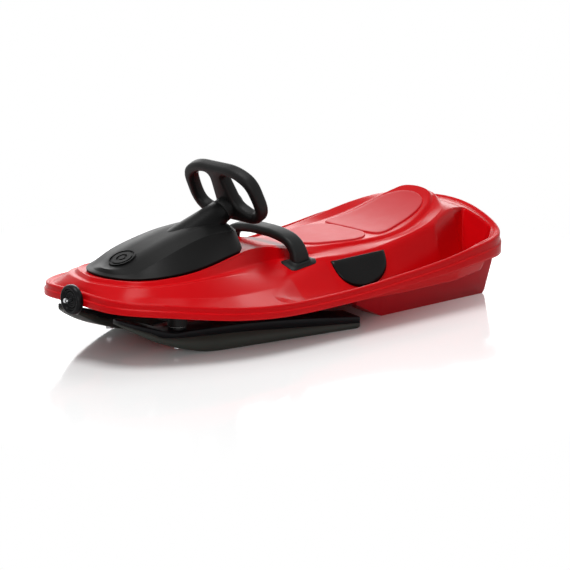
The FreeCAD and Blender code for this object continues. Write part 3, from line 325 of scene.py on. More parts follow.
def rounded_section(half_width, half_height, corner):
    """Points round a rectangle with rounded corners."""
    points = []
    for quarter, (across, up) in enumerate(((1, 1), (-1, 1), (-1, -1), (1, -1))):
        for turn in np.linspace(0, math.pi / 2, CORNER_STEPS):
            angle = quarter * math.pi / 2 + turn
            points.append((
                across * (half_width - corner) + corner * math.cos(angle),
                up * (half_height - corner) + corner * math.sin(angle),
            ))
    return np.array(points)


def lathe(profile, place, axis):
    """Grid of a profile of distances along an axis and radii, turned about it."""
    axis = np.array(axis, float)
    across = np.cross(axis, (0, 1, 0) if abs(axis[1]) < ACROSS_LIMIT else (1, 0, 0))
    across /= np.linalg.norm(across)
    beside = np.cross(axis, across)
    profile = np.array(profile)
    turns = np.arange(LATHE_STEPS) * 2 * math.pi / LATHE_STEPS
    spoke = np.cos(turns)[:, None] * across + np.sin(turns)[:, None] * beside
    return np.array(place) + profile[None, :, :1] * axis + profile[None, :, 1:] * spoke[:, None, :]


def other_hand(piece, name):
    """The right-hand copy of a left-hand piece."""
    mesh = piece.data.copy()
    for vertex in mesh.vertices:
        vertex.co.y = -vertex.co.y
    mesh.flip_normals()
    return placed(name, mesh)


def flipped_out(piece, middle):
    """Turns a skin's faces outwards, away from a middle point."""
    mesh = piece.data
    total = 0.0
    for face in mesh.polygons:
        total += face.normal.dot(face.center - Vector(middle)) * face.area
    if total < 0:
        mesh.flip_normals()


# Materials: scales and details of their noises, and the tones and roughness of bare steel
DRIFT_SCALE = 9.0
DRIFT_DETAIL = 3.0
GLOSS_SCALE = 46.0
GLOSS_DETAIL = 4.0
GRAIN_DETAIL = 2.0
GRAIN_STRENGTH = 0.35
STEEL_SCALE = 120.0
STEEL_DETAIL = 3.0
STEEL_DARK = (0.52, 0.53, 0.55)
STEEL_LIGHT = (0.68, 0.69, 0.70)
STEEL_ROUGH = (0.22, 0.38)


def node_material(name):
    """A new material, with its nodes, links and main shader."""
    material = bpy.data.materials.new(name)
    material.use_nodes = True
    nodes = material.node_tree.nodes
    return material, nodes, material.node_tree.links, nodes["Principled BSDF"]


def noise(nodes, links, scale, detail):
    """A noise texture in the object's own space."""
    place = nodes.new("ShaderNodeTexCoord")
    texture = nodes.new("ShaderNodeTexNoise")
    texture.inputs["Scale"].default_value = scale
    texture.inputs["Detail"].default_value = detail
    links.new(place.outputs["Object"], texture.inputs["Vector"])
    return texture.outputs["Fac"]


def ramp(nodes, links, factor, dark, light):
    """A colour between two tones, led by a factor."""
    mix = nodes.new("ShaderNodeMix")
    mix.data_type = "RGBA"
    mix.inputs["A"].default_value = (*dark, 1)
    mix.inputs["B"].default_value = (*light, 1)
    links.new(factor, mix.inputs["Factor"])
    return mix.outputs["Result"]


def between(nodes, links, factor, low, high):
    """A value between two limits, led by a factor."""
    span = nodes.new("ShaderNodeMapRange")
    span.inputs["To Min"].default_value = low
    span.inputs["To Max"].default_value = high
    links.new(factor, span.inputs["Value"])
    return span.outputs["Result"]


def plastic(name, dark, light, rough, grain_scale, grain_depth, gloss):
    """Moulded plastic: a slow drift of tone, an uneven gloss and a fine grain."""
    material, nodes, links, shader = node_material(name)
    slow = noise(nodes, links, DRIFT_SCALE, DRIFT_DETAIL)
    links.new(ramp(nodes, links, slow, dark, light), shader.inputs["Base Color"])
    uneven = noise(nodes, links, GLOSS_SCALE, GLOSS_DETAIL)
    links.new(between(nodes, links, uneven, *rough), shader.inputs["Roughness"])
    shader.inputs["Specular IOR Level"].default_value = gloss
    grain = nodes.new("ShaderNodeBump")
    grain.inputs["Strength"].default_value = GRAIN_STRENGTH
    grain.inputs["Distance"].default_value = grain_depth
    links.new(noise(nodes, links, grain_scale, GRAIN_DETAIL), grain.inputs["Height"])
    links.new(grain.outputs["Normal"], shader.inputs["Normal"])
    return material


def steel(name):
    """Bare steel with an uneven tone and polish."""
    material, nodes, links, shader = node_material(name)
    slow = noise(nodes, links, STEEL_SCALE, STEEL_DETAIL)
    links.new(ramp(nodes, links, slow, STEEL_DARK, STEEL_LIGHT), shader.inputs["Base Color"])
    links.new(between(nodes, links, slow, *STEEL_ROUGH), shader.inputs["Roughness"])
    shader.inputs["Metallic"].default_value = 1.0
    return material


# Finish: dark and light tone, roughness from and to, grain scale and depth, strength of the gloss
FINISHES = {
    "hull_red": ((0.68, 0.002, 0.005), (0.74, 0.003, 0.007), (0.22, 0.28), 150, 0.00003, 0.08),
    # tub_red is the hull's red made darker and less saturated as painted shade on the lower moulding; its
    # rougher satin gloss is its own
    "tub_red": ((0.50, 0.006, 0.013), (0.56, 0.009, 0.017), (0.36, 0.46), 500, 0.00008, 0.18),
    "pad_red": ((0.60, 0.008, 0.014), (0.66, 0.012, 0.020), (0.42, 0.52), 420, 0.00012, 0.26),
    "hood_black": ((0.003, 0.003, 0.003), (0.005, 0.005, 0.005), (0.38, 0.46), 460, 0.00016, 0.09),
    "wheel_black": ((0.006, 0.006, 0.006), (0.009, 0.009, 0.009), (0.42, 0.54), 420, 0.00012, 0.16),
    "handle_black": ((0.007, 0.008, 0.008), (0.011, 0.012, 0.012), (0.42, 0.52), 420, 0.00010, 0.16),
    "grip_black": ((0.003, 0.003, 0.003), (0.005, 0.005, 0.005), (0.18, 0.24), 300, 0.00003, 0.12),
    "fairlead_black": ((0.004, 0.004, 0.005), (0.007, 0.007, 0.008), (0.20, 0.28), 300, 0.00003, 0.10),
    "ski_grey": ((0.036, 0.040, 0.034), (0.045, 0.049, 0.042), (0.42, 0.52), 420, 0.00010, 0.20),
    "ski_black": ((0.003, 0.003, 0.004), (0.005, 0.005, 0.006), (0.40, 0.50), 420, 0.00010, 0.14),
    "inner_black": ((0.008, 0.008, 0.008), (0.012, 0.012, 0.012), (0.50, 0.60), 420, 0.00010, 0.16),
    "bush_white": ((0.66, 0.65, 0.62), (0.74, 0.73, 0.70), (0.38, 0.48), 420, 0.00008, 0.50),
}
MATERIALS = {name: plastic(name, *finish) for name, finish in FINISHES.items()}
MATERIALS["steel"] = steel("steel")


def dress_frame():
    """Gives each CAD node the finish of its slot."""
    for row in frame["record"]["subparts"]:
        node = frame["nodes"][row["node"]]
        node.data.materials.clear()
        node.data.materials.append(MATERIALS[row["material_slot"]])


# Hull: radius at each line, cuts between lines, and the lines between which the leg wells lie
HULL_RADII = [0, 0.0012, 0.0012, 0.0025, 0.004, 0.004, 0.003, 0.003, 0.003, 0.0025, 0.004, 0]
HULL_CUTS = [3, 1, 3, 1, 1, 26, 26, 6, 3, 4, 26]
RING_STEPS = 560
CROWN_LINE = 4
COLLAR_FOOT_LINE = 8
HULL_MIDDLE = (0, 0, 0)

# Openings in the hull: for the steering column, and a slot for each leg of the brake handle
OPENING_REAR_X = 0.236
OPENING_FRONT_X = 0.400
OPENING_HALF_WIDTH = 0.046
SLOT_X = 0.008
SLOT_Y = 0.112
SLOT_HALF_LENGTH = 0.037
SLOT_HALF_WIDTH = 0.021


def hull_lines():
    """The lines of the hull's outer skin, from the lower rim edge to the spine."""
    lip = places(RIM_SHARES)
    drops = -np.array(BAND_SHARES) * TAIL_BAND_HEIGHT
    steps = drops * RIM_STEP_SHARE
    collar = places(COLLAR_SHARES)
    top = places(TOP_SHARES)
    return [
        inset(lip, -RIM_STEP, drops), inset(lip, -RIM_STEP, steps), inset(lip, 0, steps + RIM_STEP_RISE), lip,
        inset(lip, LIP_WIDTH / 2, LIP_CROWN), inset(lip, LIP_WIDTH, -LIP_CROWN),
        places(SHOULDER_SHARES), places(RIDGE_SHARES),
        inset(collar, -COLLAR_STEP_WIDTH, -np.array(COLLAR_STEP_SHARES) * COLLAR_STEP), collar,
        top, top * (1, 0, 1),
    ]


def well_heights(x, y):
    """Height of a leg well's floor and walls at places in plan."""
    stations, *edges = (np.array(WELL_SHARES)[::-1] * WELL_SCALES).T
    inner, outer, ridge, ridge_z, lip, lip_z, floor = [np.interp(x, stations, edge) for edge in edges]
    side = np.abs(y)
    inner_wall = floor + (inner - side) * (ridge_z - floor) / (inner - ridge)
    outer_wall = floor + (side - outer) * (lip_z - floor) / (lip - outer)
    rear_rise = WELL_REAR_RISE_SHARE * SEAT_HEIGHT
    rear_run = (WELL_REAR_FLOOR_SHARE - WELL_REAR_TOP_SHARE) * HALF_LENGTH
    rear_wall = floor + (WELL_REAR_FLOOR_SHARE * HALF_LENGTH - x) * (rear_rise / rear_run)
    walls = smooth_max(inner_wall, smooth_max(outer_wall, rear_wall, WELL_ROUNDING), WELL_ROUNDING)
    return smooth_max(floor, walls, WELL_ROUNDING)


def hull():
    """The upper hull as one smooth skin with its leg wells, and its surface before the openings are cut."""
    dense, marks = ring_shell(hull_lines(), places(RIM_SHARES), HULL_RADII, HULL_CUTS, RING_STEPS)
    open_part = (marks > CROWN_LINE) & (marks < COLLAR_FOOT_LINE)
    x, y, z = dense[:, open_part].transpose(2, 0, 1)
    dense[:, open_part, 2] = smooth_min(z, well_heights(x, y), EDGE_ROUNDING)
    points, faces = skin(dense)
    whole = new_object("hull_whole", points, faces, MATERIALS["hull_red"])
    surface = surface_of(whole)
    bpy.data.objects.remove(whole)
    faces = [face for face in faces if not in_opening(points[list(face)])]
    piece = new_object("hull_skin", points, faces, MATERIALS["hull_red"])
    flipped_out(piece, HULL_MIDDLE)
    return piece, surface


def in_opening(corners):
    """Whether a face of the hull lies in the column opening or in a slot of the brake handle."""
    x = corners[:, 0]
    side = np.abs(corners[:, 1])
    column = (x > OPENING_REAR_X) & (x < OPENING_FRONT_X) & (side < OPENING_HALF_WIDTH)
    slot = (np.abs(x - SLOT_X) < SLOT_HALF_LENGTH) & (np.abs(side - SLOT_Y) < SLOT_HALF_WIDTH)
    return column.all() or slot.all()


def surface_of(piece):
    """A tree of a skin's faces, to lay other pieces on."""
    work = bmesh.new()
    work.from_mesh(piece.data)
    tree = BVHTree.FromBMesh(work)
    work.free()
    return tree


def dropped(surface, x, y):
    """The place on a surface under a point in plan, and the upward normal there."""
    hit, normal, _, _ = surface.ray_cast(Vector((x, y, CAST_HEIGHT)), Vector((0, 0, -1)))
    return hit, normal if normal.z > 0 else -normal


def thicken(piece, wall):
    """Gives a skin a wall on its inner side."""
    modifier = piece.modifiers.new("wall", "SOLIDIFY")
    modifier.thickness = wall
    modifier.offset = -1


# Seat and back panels, moulded on the hull: outline points as shares of half length and half width
SEAT_PANEL_SHARES = [
    (-0.115, 0.0), (-0.150, 0.180), (-0.245, 0.312), (-0.350, 0.345), (-0.412, 0.250), (-0.425, 0.0),
]
BACK_PANEL_SHARES = [
    (-0.432, 0.0), (-0.430, 0.200), (-0.445, 0.330), (-0.540, 0.325), (-0.660, 0.290), (-0.750, 0.215),
    (-0.785, 0.0),
]
PANEL_HEIGHT = 0.0034
PANEL_RING_SHARES = [
    (1.0, -0.4), (0.996, 0.4), (0.988, 0.9), (0.97, 1.0), (0.9, 1.0), (0.7, 1.0), (0.45, 1.0), (0.2, 1.0),
    (0.0, 1.0),
]
PANEL_STEPS = 140


def panel(name, shares, surface):
    """A thin raised panel on the seat, following the hull's surface."""
    left = np.array([(x * HALF_LENGTH, y * HALF_WIDTH, 0) for x, y in shares])
    ring = np.vstack([left, mirrored(left)[-2:0:-1]])
    outline = closed_curve(ring, closed_knots(ring), np.arange(PANEL_STEPS) / PANEL_STEPS)
    middle = outline.mean(axis=0)
    grid = np.zeros((PANEL_STEPS, len(PANEL_RING_SHARES), 3))
    for column, (share, lift) in enumerate(PANEL_RING_SHARES):
        for row, point in enumerate(middle + (outline - middle) * share):
            hit, _ = dropped(surface, point[0], point[1])
            grid[row, column] = hit + Vector((0, 0, lift * PANEL_HEIGHT))
    piece = new_object(name, *skin(grid), MATERIALS["pad_red"])
    flipped_out(piece, (middle[0], 0, 0))
    return piece


# Hood, front to rear on the left side
HOOD_WALL = 0.003
HOOD_FOOT_SHARES = [
    (0.832, 0.052, 0.700), (0.790, 0.268, 0.700), (0.684, 0.400, 0.708), (0.524, 0.424, 0.708),
    (0.330, 0.318, 0.708), (0.252, 0.250, 0.735),
]
HOOD_BASE_SHARES = [
    (0.838, 0.060, 0.728), (0.796, 0.284, 0.726), (0.692, 0.425, 0.731), (0.528, 0.450, 0.757),
    (0.325, 0.336, 0.788), (0.245, 0.270, 0.803),
]
HOOD_CREASE_SHARES = [
    (0.822, 0.056, 0.746), (0.776, 0.235, 0.752), (0.690, 0.305, 0.828), (0.525, 0.290, 0.940),
    (0.335, 0.252, 0.985), (0.255, 0.205, 0.965),
]
HOOD_TOP_SHARES = [
    (0.812, 0.040, 0.777), (0.770, 0.110, 0.794), (0.680, 0.130, 0.882), (0.520, 0.120, 0.996),
    (0.340, 0.120, 1.040), (0.262, 0.110, 1.010),
]
HOOD_RADII = [0, 0.002, 0.0008, 0.014, 0]
HOOD_CUTS = [2, 12, 10, 10]
HOOD_STEPS = 260
HOOD_MIDDLE = (0.3, 0, 0)


def hood():
    """The hood as one smooth shell with a crease along each side."""
    foot = places(HOOD_FOOT_SHARES)
    top = places(HOOD_TOP_SHARES)
    lines = [foot, places(HOOD_BASE_SHARES), places(HOOD_CREASE_SHARES), top, top * (1, 0, 1)]
    dense, _ = ring_shell(lines, foot, HOOD_RADII, HOOD_CUTS, HOOD_STEPS)
    piece = new_object("hood_skin", *skin(dense), MATERIALS["hood_black"])
    flipped_out(piece, HOOD_MIDDLE)
    thicken(piece, HOOD_WALL)
    return piece


# Snout of the hood round the steering column: distances forward and down from the hub, and radii
COLUMN_TILT = math.radians(25)
COLUMN_FORWARD = (math.cos(COLUMN_TILT), 0, -math.sin(COLUMN_TILT))
HUB_PLACE = (0.112, 0, 0.277)
SNOUT_PROFILE = [
    (0.0362, 0.012), (0.0362, 0.0255), (0.0368, 0.0272), (0.0385, 0.0282), (0.060, 0.0305), (0.090, 0.0336),
    (0.120, 0.0367), (0.150, 0.0398), (0.188, 0.0438),
]
SNOUT_MIDDLE = (0.2, 0, 0.235)


def snout():
    """The snout as a turned shell, open at its lower end inside the hood."""
    grid = lathe(SNOUT_PROFILE, HUB_PLACE, COLUMN_FORWARD)
    piece = new_object("hood_snout", *skin(grid), MATERIALS["hood_black"])
    flipped_out(piece, SNOUT_MIDDLE)
    return piece


# Steering wheel: corners as shares of its half width and of its top
WHEEL_HALF_WIDTH = 0.120
WHEEL_TOP = 0.108
WHEEL_HALF_DEPTH = 0.015
WHEEL_EDGE = 0.0095
WHEEL_CORNER = 0.030
WHEEL_WINDOW_CORNER = 0.017
WHEEL_EDGE_STEPS = 4
WHEEL_LOOP_STEPS = 7
LOOP_ROUNDING_SHARE = 0.48
WHEEL_OUTLINE_SHARES = [(0.74, -0.34), (1.0, -0.03), (0.975, 0.74), (0.55, 1.0)]
WHEEL_WINDOW_SHARES = [
    (0.17, 0.79), (0.48, 0.79), (0.76, 0.60), (0.81, 0.20), (0.78, -0.03), (0.58, -0.13), (0.26, 0.06),
]

# Hub of the wheel: distances along the column and radii
HUB_PROFILE = [
    (-0.0205, 0.0090), (-0.0205, 0.0200), (-0.0190, 0.0230), (-0.0120, 0.0255), (0.0150, 0.0265),
    (0.0330, 0.0270), (0.0345, 0.0264), (0.0350, 0.0250), (0.0350, 0.0090),
]


def rounded_loop(corners, reach):
    """A closed flat loop with its corners rounded."""
    corners = np.array(corners)
    loop = []
    for before, corner, after in zip(np.roll(corners, 1, axis=0), corners, np.roll(corners, -1, axis=0)):
        back = before - corner
        ahead = after - corner
        start = corner + back * min(LOOP_ROUNDING_SHARE, reach / np.linalg.norm(back))
        stop = corner + ahead * min(LOOP_ROUNDING_SHARE, reach / np.linalg.norm(ahead))
        for t in np.linspace(0, 1, WHEEL_LOOP_STEPS):
            loop.append(start * (1 - t) ** 2 + corner * 2 * t * (1 - t) + stop * t ** 2)
    return loop


def flat_plate(loops):
    """A mesh of a flat plate with rounded edges, whose later loops are windows in the first."""
    flat = bpy.data.curves.new("wheel_flat", "CURVE")
    flat.dimensions = "2D"
    flat.fill_mode = "BOTH"
    flat.offset = -WHEEL_EDGE
    flat.bevel_depth = WHEEL_EDGE
    flat.bevel_resolution = WHEEL_EDGE_STEPS
    flat.extrude = WHEEL_HALF_DEPTH - WHEEL_EDGE
    for loop in loops:
        spline = flat.splines.new("POLY")
        spline.points.add(len(loop) - 1)
        for point, (side, height) in zip(spline.points, loop):
            point.co = (side, height, 0, 1)
        spline.use_cyclic_u = True
    holder = placed("wheel_flat", flat)
    mesh = bpy.data.meshes.new_from_object(holder.evaluated_get(bpy.context.evaluated_depsgraph_get()))
    bpy.data.objects.remove(holder)
    return mesh


def wheel_plate():
    """The wheel's rim and spokes as one plate with two windows, set square to the column."""
    size = np.array((WHEEL_HALF_WIDTH, WHEEL_TOP))
    left = np.array(WHEEL_OUTLINE_SHARES)
    outline = np.vstack([left, left[::-1] * (-1, 1)]) * size
    window = np.array(WHEEL_WINDOW_SHARES) * size
    mesh = flat_plate([
        rounded_loop(outline, WHEEL_CORNER),
        rounded_loop(window, WHEEL_WINDOW_CORNER), rounded_loop(window * (-1, 1), WHEEL_WINDOW_CORNER),
    ])
    upward = np.array((math.sin(COLUMN_TILT), 0, math.cos(COLUMN_TILT)))
    flat_places = np.array([vertex.co for vertex in mesh.vertices])
    points = (
        np.array(HUB_PLACE) + flat_places[:, :1] * (0, 1, 0) + flat_places[:, 1:2] * upward
        + flat_places[:, 2:] * np.array(COLUMN_FORWARD)
    )
    faces = [tuple(face.vertices) for face in mesh.polygons]
    return new_object("wheel_plate", points, faces, MATERIALS["wheel_black"])


def wheel_hub():
    """The wheel's hub, turned round the column."""
    grid = lathe(HUB_PROFILE, HUB_PLACE, COLUMN_FORWARD)
    return new_object("wheel_hub", *skin(grid, True, True), MATERIALS["wheel_black"])


# Brake handle: side, reach from the pivot, half width and half thickness of the band
BRAKE_PLACE = (0.006, 0, 0.118)
BRAKE_LEAN = math.radians(6)
HANDLE_CORNER = 0.0085
HANDLE_ROWS = [
    (0.1170, 0.000, 0.0210, 0.0110), (0.1170, 0.020, 0.0220, 0.0115), (0.1168, 0.038, 0.0230, 0.0120),
    (0.1130, 0.056, 0.0212, 0.0112), (0.1000, 0.072, 0.0205, 0.0108), (0.0780, 0.082, 0.0202, 0.0106),
    (0.0400, 0.088, 0.0200, 0.0105), (0.0000, 0.089, 0.0200, 0.0105),
]
HANDLE_STEPS = 10


def handle():
    """The arch of the brake handle, a rounded band in a plane that leans forward."""
    right = [(-side, reach, width, thickness) for side, reach, width, thickness in HANDLE_ROWS[-2::-1]]
    rows = smooth_line(HANDLE_ROWS + right, HANDLE_STEPS)
    up = np.array((math.sin(BRAKE_LEAN), 0, math.cos(BRAKE_LEAN)))
    fore = np.array((math.cos(BRAKE_LEAN), 0, -math.sin(BRAKE_LEAN)))
    left = np.array((0, 1, 0))
    along = np.gradient(rows[:, :2], axis=0)
    along /= np.linalg.norm(along, axis=1)[:, None]
    grid = []
    for (side, reach, width, thickness), (run, rise) in zip(rows, along):
        out = left * rise - up * run
        section = rounded_section(width, thickness, HANDLE_CORNER)
        middle = np.array(BRAKE_PLACE) + left * side + up * reach
        grid.append(middle + section[:, :1] * fore + section[:, 1:] * out)
    return new_object("brake_arch", *capped(np.array(grid)), MATERIALS["handle_black"])


# Rubber boots at the handle's legs, rings from foot to collar: half length, half width, way to the leg, lift
BOOT_LEG_X = 0.010
BOOT_LEG_Y = 0.117
BOOT_CORNER = 0.0112
BOOT_RINGS = [
    (0.0388, 0.0234, 0.0, -0.0010), (0.0388, 0.0234, 0.0, 0.0006), (0.0374, 0.0224, 0.1, 0.0016),
    (0.0322, 0.0186, 0.5, 0.0026), (0.0272, 0.0158, 0.9, 0.0052), (0.0245, 0.0135, 1.0, 0.0100),
    (0.0225, 0.0115, 1.0, 0.0105),
]


def boot(surface):
    """The left boot: rounded rings that climb from the deck to the leg."""
    grid = []
    for half_length, half_width, share, lift in BOOT_RINGS:
        x = SLOT_X + (BOOT_LEG_X - SLOT_X) * share
        y = SLOT_Y + (BOOT_LEG_Y - SLOT_Y) * share
        ring = []
        for across, beside in rounded_section(half_length, half_width, BOOT_CORNER):
            hit, normal = dropped(surface, x + across, y + beside)
            ring.append(hit + normal * lift)
        grid.append(ring)
    return new_object("leg_boot_left", *skin(np.array(grid), False, True), MATERIALS["handle_black"])


def boot_blend(piece, surface, side):
    """Looks up the deck under a boot's slot, leaves it unused, and bakes the boot's placement into its mesh.
    """
    hit, normal = dropped(surface, SLOT_X, side * SLOT_Y)
    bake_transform(piece)


# Skis: shares of the length and of the tip height
KINGPIN_X = 0.368
SKI_Y = 0.118
SKI_TOE = math.radians(9.5)
SKI_HALF_WIDTH = 0.036
SKI_FRONT_X = 0.520
SKI_REAR_X = -0.085
SKI_TIP_HEIGHT = 0.096
SKI_TOP_SHARES = [
    (0.0, 0.29), (0.25, 0.46), (0.50, 0.57), (0.72, 0.59), (0.80, 0.60), (0.90, 0.80), (1.0, 1.0),
]
SKI_SEAM_SHARES = [
    (0.0, 0.14), (0.25, 0.25), (0.50, 0.37), (0.80, 0.47), (0.90, 0.68), (1.0, 0.92),
]
SKI_SOLE_SHARES = [
    (0.0, 0.03), (0.02, 0.0), (0.30, 0.0), (0.60, 0.0), (0.73, 0.12), (0.87, 0.43), (1.0, 0.875),
]
SKI_TIP_SHARE = 0.90
SKI_TIP_NARROWING = 0.9
SKI_CORNER_SHARE = 0.9
SKI_SOLE_CORNER = 0.007
SKI_LID_CORNER = 0.0035
SKI_STEPS = 120
SKI_TIP_STEPS = 24
SKI_LINE_STEPS = 12

# Boss of a ski, whose skirt goes round the washer: heights and radii
BOSS_PROFILE = [
    (0.0300, 0.0206), (0.0606, 0.0206), (0.0613, 0.0204), (0.0613, 0.0201), (0.0592, 0.0201),
    (0.0592, 0.0095),
]


def ski_rows():
    """Place along the left ski, half width, and height of top, seam and sole, from heel to tip."""
    share = np.concatenate([
        np.linspace(0, SKI_TIP_SHARE, SKI_STEPS), np.linspace(SKI_TIP_SHARE, 1, SKI_TIP_STEPS)[1:],
    ])
    heights = []
    for shares in (SKI_TOP_SHARES, SKI_SEAM_SHARES, SKI_SOLE_SHARES):
        line = smooth_line(shares, SKI_LINE_STEPS)
        heights.append(np.interp(share, line[:, 0], np.maximum(line[:, 1], 0)) * SKI_TIP_HEIGHT)
    past = np.clip((share - SKI_TIP_SHARE) / (1 - SKI_TIP_SHARE), 0, 1)
    width = SKI_HALF_WIDTH * np.sqrt(1 - SKI_TIP_NARROWING * past ** 2)
    return np.stack([SKI_REAR_X + share * (SKI_FRONT_X - SKI_REAR_X), width, *heights], axis=1)


def ski_places(along, across, height):
    """Points of the left ski from places along and across it."""
    reach = along - KINGPIN_X
    x = KINGPIN_X + reach * math.cos(SKI_TOE) + across * math.sin(SKI_TOE)
    y = SKI_Y - reach * math.sin(SKI_TOE) + across * math.cos(SKI_TOE)
    return np.stack([x, y, height], axis=-1)


def ski_piece(name, material, low, high, corner, is_lid):
    """A run of sections between two heights, its free edges rounded."""
    grid = []
    for (along, width), bottom, upper in zip(ski_rows()[:, :2], low, high):
        half = (upper - bottom) / 2
        section = rounded_section(width, half, min(corner, half * SKI_CORNER_SHARE))
        flat = section[:, 1] < 0 if is_lid else section[:, 1] > 0
        section[flat, 0] = np.sign(section[flat, 0]) * width
        section[flat, 1] = np.sign(section[flat, 1]) * half
        height = section[:, 1] + (upper + bottom) / 2
        grid.append(ski_places(np.full(len(section), along), section[:, 0], height))
    return new_object(name, *capped(np.array(grid)), MATERIALS[material])


def ski():
    """The left ski's body, its dark lid and the boss round the kingpin."""
    top, seam, sole = ski_rows()[:, 2:].T
    body = ski_piece("ski_body_left", "ski_grey", sole, seam, SKI_SOLE_CORNER, False)
    lid = ski_piece("ski_lid_left", "ski_black", seam, top, SKI_LID_CORNER, True)
    grid = lathe(BOSS_PROFILE, (KINGPIN_X, SKI_Y, 0), (0, 0, 1))
    boss = new_object("ski_boss_left", *skin(grid), MATERIALS["ski_black"])
    return body, lid, boss


# Rear tub, whose sharp edges are softened and whose flat faces are joined first
TUB_EDGE = 0.004
TUB_EDGE_STEPS = 3
TUB_SHARP = math.radians(32)
TUB_FLAT = math.radians(1)


def tub():
    """The rear tub with rounded edges."""
    work = bmesh.new()
    work.from_mesh(frame["nodes"]["rear_tub"].data)
    bmesh.ops.remove_doubles(work, verts=work.verts, dist=WELD)
    bmesh.ops.dissolve_limit(work, angle_limit=TUB_FLAT, verts=work.verts, edges=work.edges)
    mesh = bpy.data.meshes.new("tub_skin")
    work.to_mesh(mesh)
    work.free()
    # The tub's darker, less saturated red is painted shade
    smooth_faces(mesh, MATERIALS["tub_red"])
    piece = placed("tub_skin", mesh)
    edge = piece.modifiers.new("edge", "BEVEL")
    edge.width = TUB_EDGE
    edge.segments = TUB_EDGE_STEPS
    edge.limit_method = "ANGLE"
    edge.angle_limit = TUB_SHARP
    edge.harden_normals = True
    return piece


# Side grips: a straight upper edge and a bowed lower one, bulged off the flank
GRIP_FRONT = (-0.062, 0.141)
GRIP_REAR = (-0.209, 0.150)
GRIP_DEPTH = 0.064
GRIP_MIDDLE_SHARE = 0.4
GRIP_BOW_POWER = 0.72
GRIP_CAST_Y = 0.206
GRIP_EDGE_STEPS = 40
GRIP_BULGE = 0.0075
GRIP_RING_SHARES = [
    (1.0, -0.15), (0.995, 0.25), (0.975, 0.50), (0.94, 0.66), (0.86, 0.80), (0.70, 0.92), (0.45, 1.0),
    (0.2, 1.0), (0.0, 1.0),
]


def grip(surface):
    """The left grip, laid on the flank of the seat."""
    front = np.array(GRIP_FRONT)
    rear = np.array(GRIP_REAR)
    edge = []
    for share in np.linspace(0, 1, GRIP_EDGE_STEPS, endpoint=False):
        edge.append(front + (rear - front) * share)
    for turn in np.linspace(0, math.pi, GRIP_EDGE_STEPS, endpoint=False):
        share = 0.5 + 0.5 * math.cos(turn)
        edge.append(front + (rear - front) * share - (0, GRIP_DEPTH * math.sin(turn) ** GRIP_BOW_POWER))
    edge = np.array(edge)
    middle = (front + rear) / 2 - (0, GRIP_DEPTH * GRIP_MIDDLE_SHARE)
    grid = np.zeros((len(edge), len(GRIP_RING_SHARES), 3))
    for column, (share, lift) in enumerate(GRIP_RING_SHARES):
        for row, (x, z) in enumerate(middle + (edge - middle) * share):
            hit, normal, _, _ = surface.ray_cast(Vector((x, GRIP_CAST_Y, z)), Vector((0, -1, 0)))
            if normal.y < 0:
                normal = -normal
            grid[row, column] = hit + normal * lift * GRIP_BULGE
    piece = new_object("grip_left", *skin(grid), MATERIALS["grip_black"])
    flipped_out(piece, (middle[0], 0, middle[1]))
    return piece


# Tow guide on the nose: distances forward of the nose and radii
GUIDE_PROFILE = [
    (0.0000, 0.0310), (0.0020, 0.0328), (0.0090, 0.0330), (0.0130, 0.0318), (0.0155, 0.0295),
    (0.0160, 0.0272), (0.0150, 0.0252), (0.0110, 0.0238), (0.0085, 0.0220), (0.0080, 0.0190),
    (0.0095, 0.0178), (0.0110, 0.0160), (0.0105, 0.0140), (0.0080, 0.0128), (0.0065, 0.0110),
    (0.0065, 0.0085), (0.0085, 0.0075), (0.0090, 0.0058), (0.0080, 0.0042), (0.0000, 0.0034),
]


def guide():
    """The round tow guide, with rings turned into its face."""
    low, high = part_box("tow_fairlead")
    grid = lathe(GUIDE_PROFILE, (low[0], 0, (low[2] + high[2]) / 2), (1, 0, 0))
    return new_object("tow_guide", *skin(grid, True, True), MATERIALS["fairlead_black"])


# Floor: a pale glossy sheet, lifted towards white beside the sled and plain white further out
FLOOR_HALF_SIZE = 30.0
FLOOR_NOISE_SCALE = 3.0
FLOOR_NOISE_DETAIL = 2.0
FLOOR_DARK = (0.90, 0.90, 0.90)
FLOOR_LIGHT = (0.92, 0.92, 0.92)
FLOOR_ROUGHNESS = 0.10
FLOOR_GLOSS = 0.5
FLOOR_FADE_START = 0.62
FLOOR_FADE_END = 1.15
FLOOR_FADE_SHAPE = (1.0, 1.0, 1.0)
FLOOR_LIFT = 0.38
FLOOR_LIFT_START = 0.14
FLOOR_LIFT_END = 0.42
FLOOR_LIFT_SHAPE = (0.45, 1.0, 1.0)
WHITE = 1.0


def calculated(nodes, links, operation, first, second):
    """The result of one operation on two values."""
    node = nodes.new("ShaderNodeMath")
    node.operation = operation
    links.new(first, node.inputs[0])
    links.new(second, node.inputs[1])
    return node.outputs["Value"]


def background_rays(nodes, links):
    """1 for the rays that show the background: from the camera, in gloss and through glass."""
    path = nodes.new("ShaderNodeLightPath")
    shown = path.outputs["Is Camera Ray"]
    for kind in ("Is Glossy Ray", "Is Transmission Ray"):
        shown = calculated(nodes, links, "MAXIMUM", shown, path.outputs[kind])
    return shown


def rise_outwards(nodes, links, shape, start, end, top):
    """A value that rises from 0 to its top with the distance from the sled's middle."""
    place = nodes.new("ShaderNodeNewGeometry")
    squeezed = nodes.new("ShaderNodeVectorMath")
    squeezed.operation = "MULTIPLY"
    squeezed.inputs[1].default_value = shape
    links.new(place.outputs["Position"], squeezed.inputs[0])
    distance = nodes.new("ShaderNodeVectorMath")
    distance.operation = "LENGTH"
    links.new(squeezed.outputs["Vector"], distance.inputs[0])
    rise = nodes.new("ShaderNodeMapRange")
    rise.interpolation_type = "SMOOTHSTEP"
    rise.inputs["From Min"].default_value = start
    rise.inputs["From Max"].default_value = end
    rise.inputs["To Max"].default_value = top
    links.new(distance.outputs["Value"], rise.inputs["Value"])
    return rise.outputs["Result"]


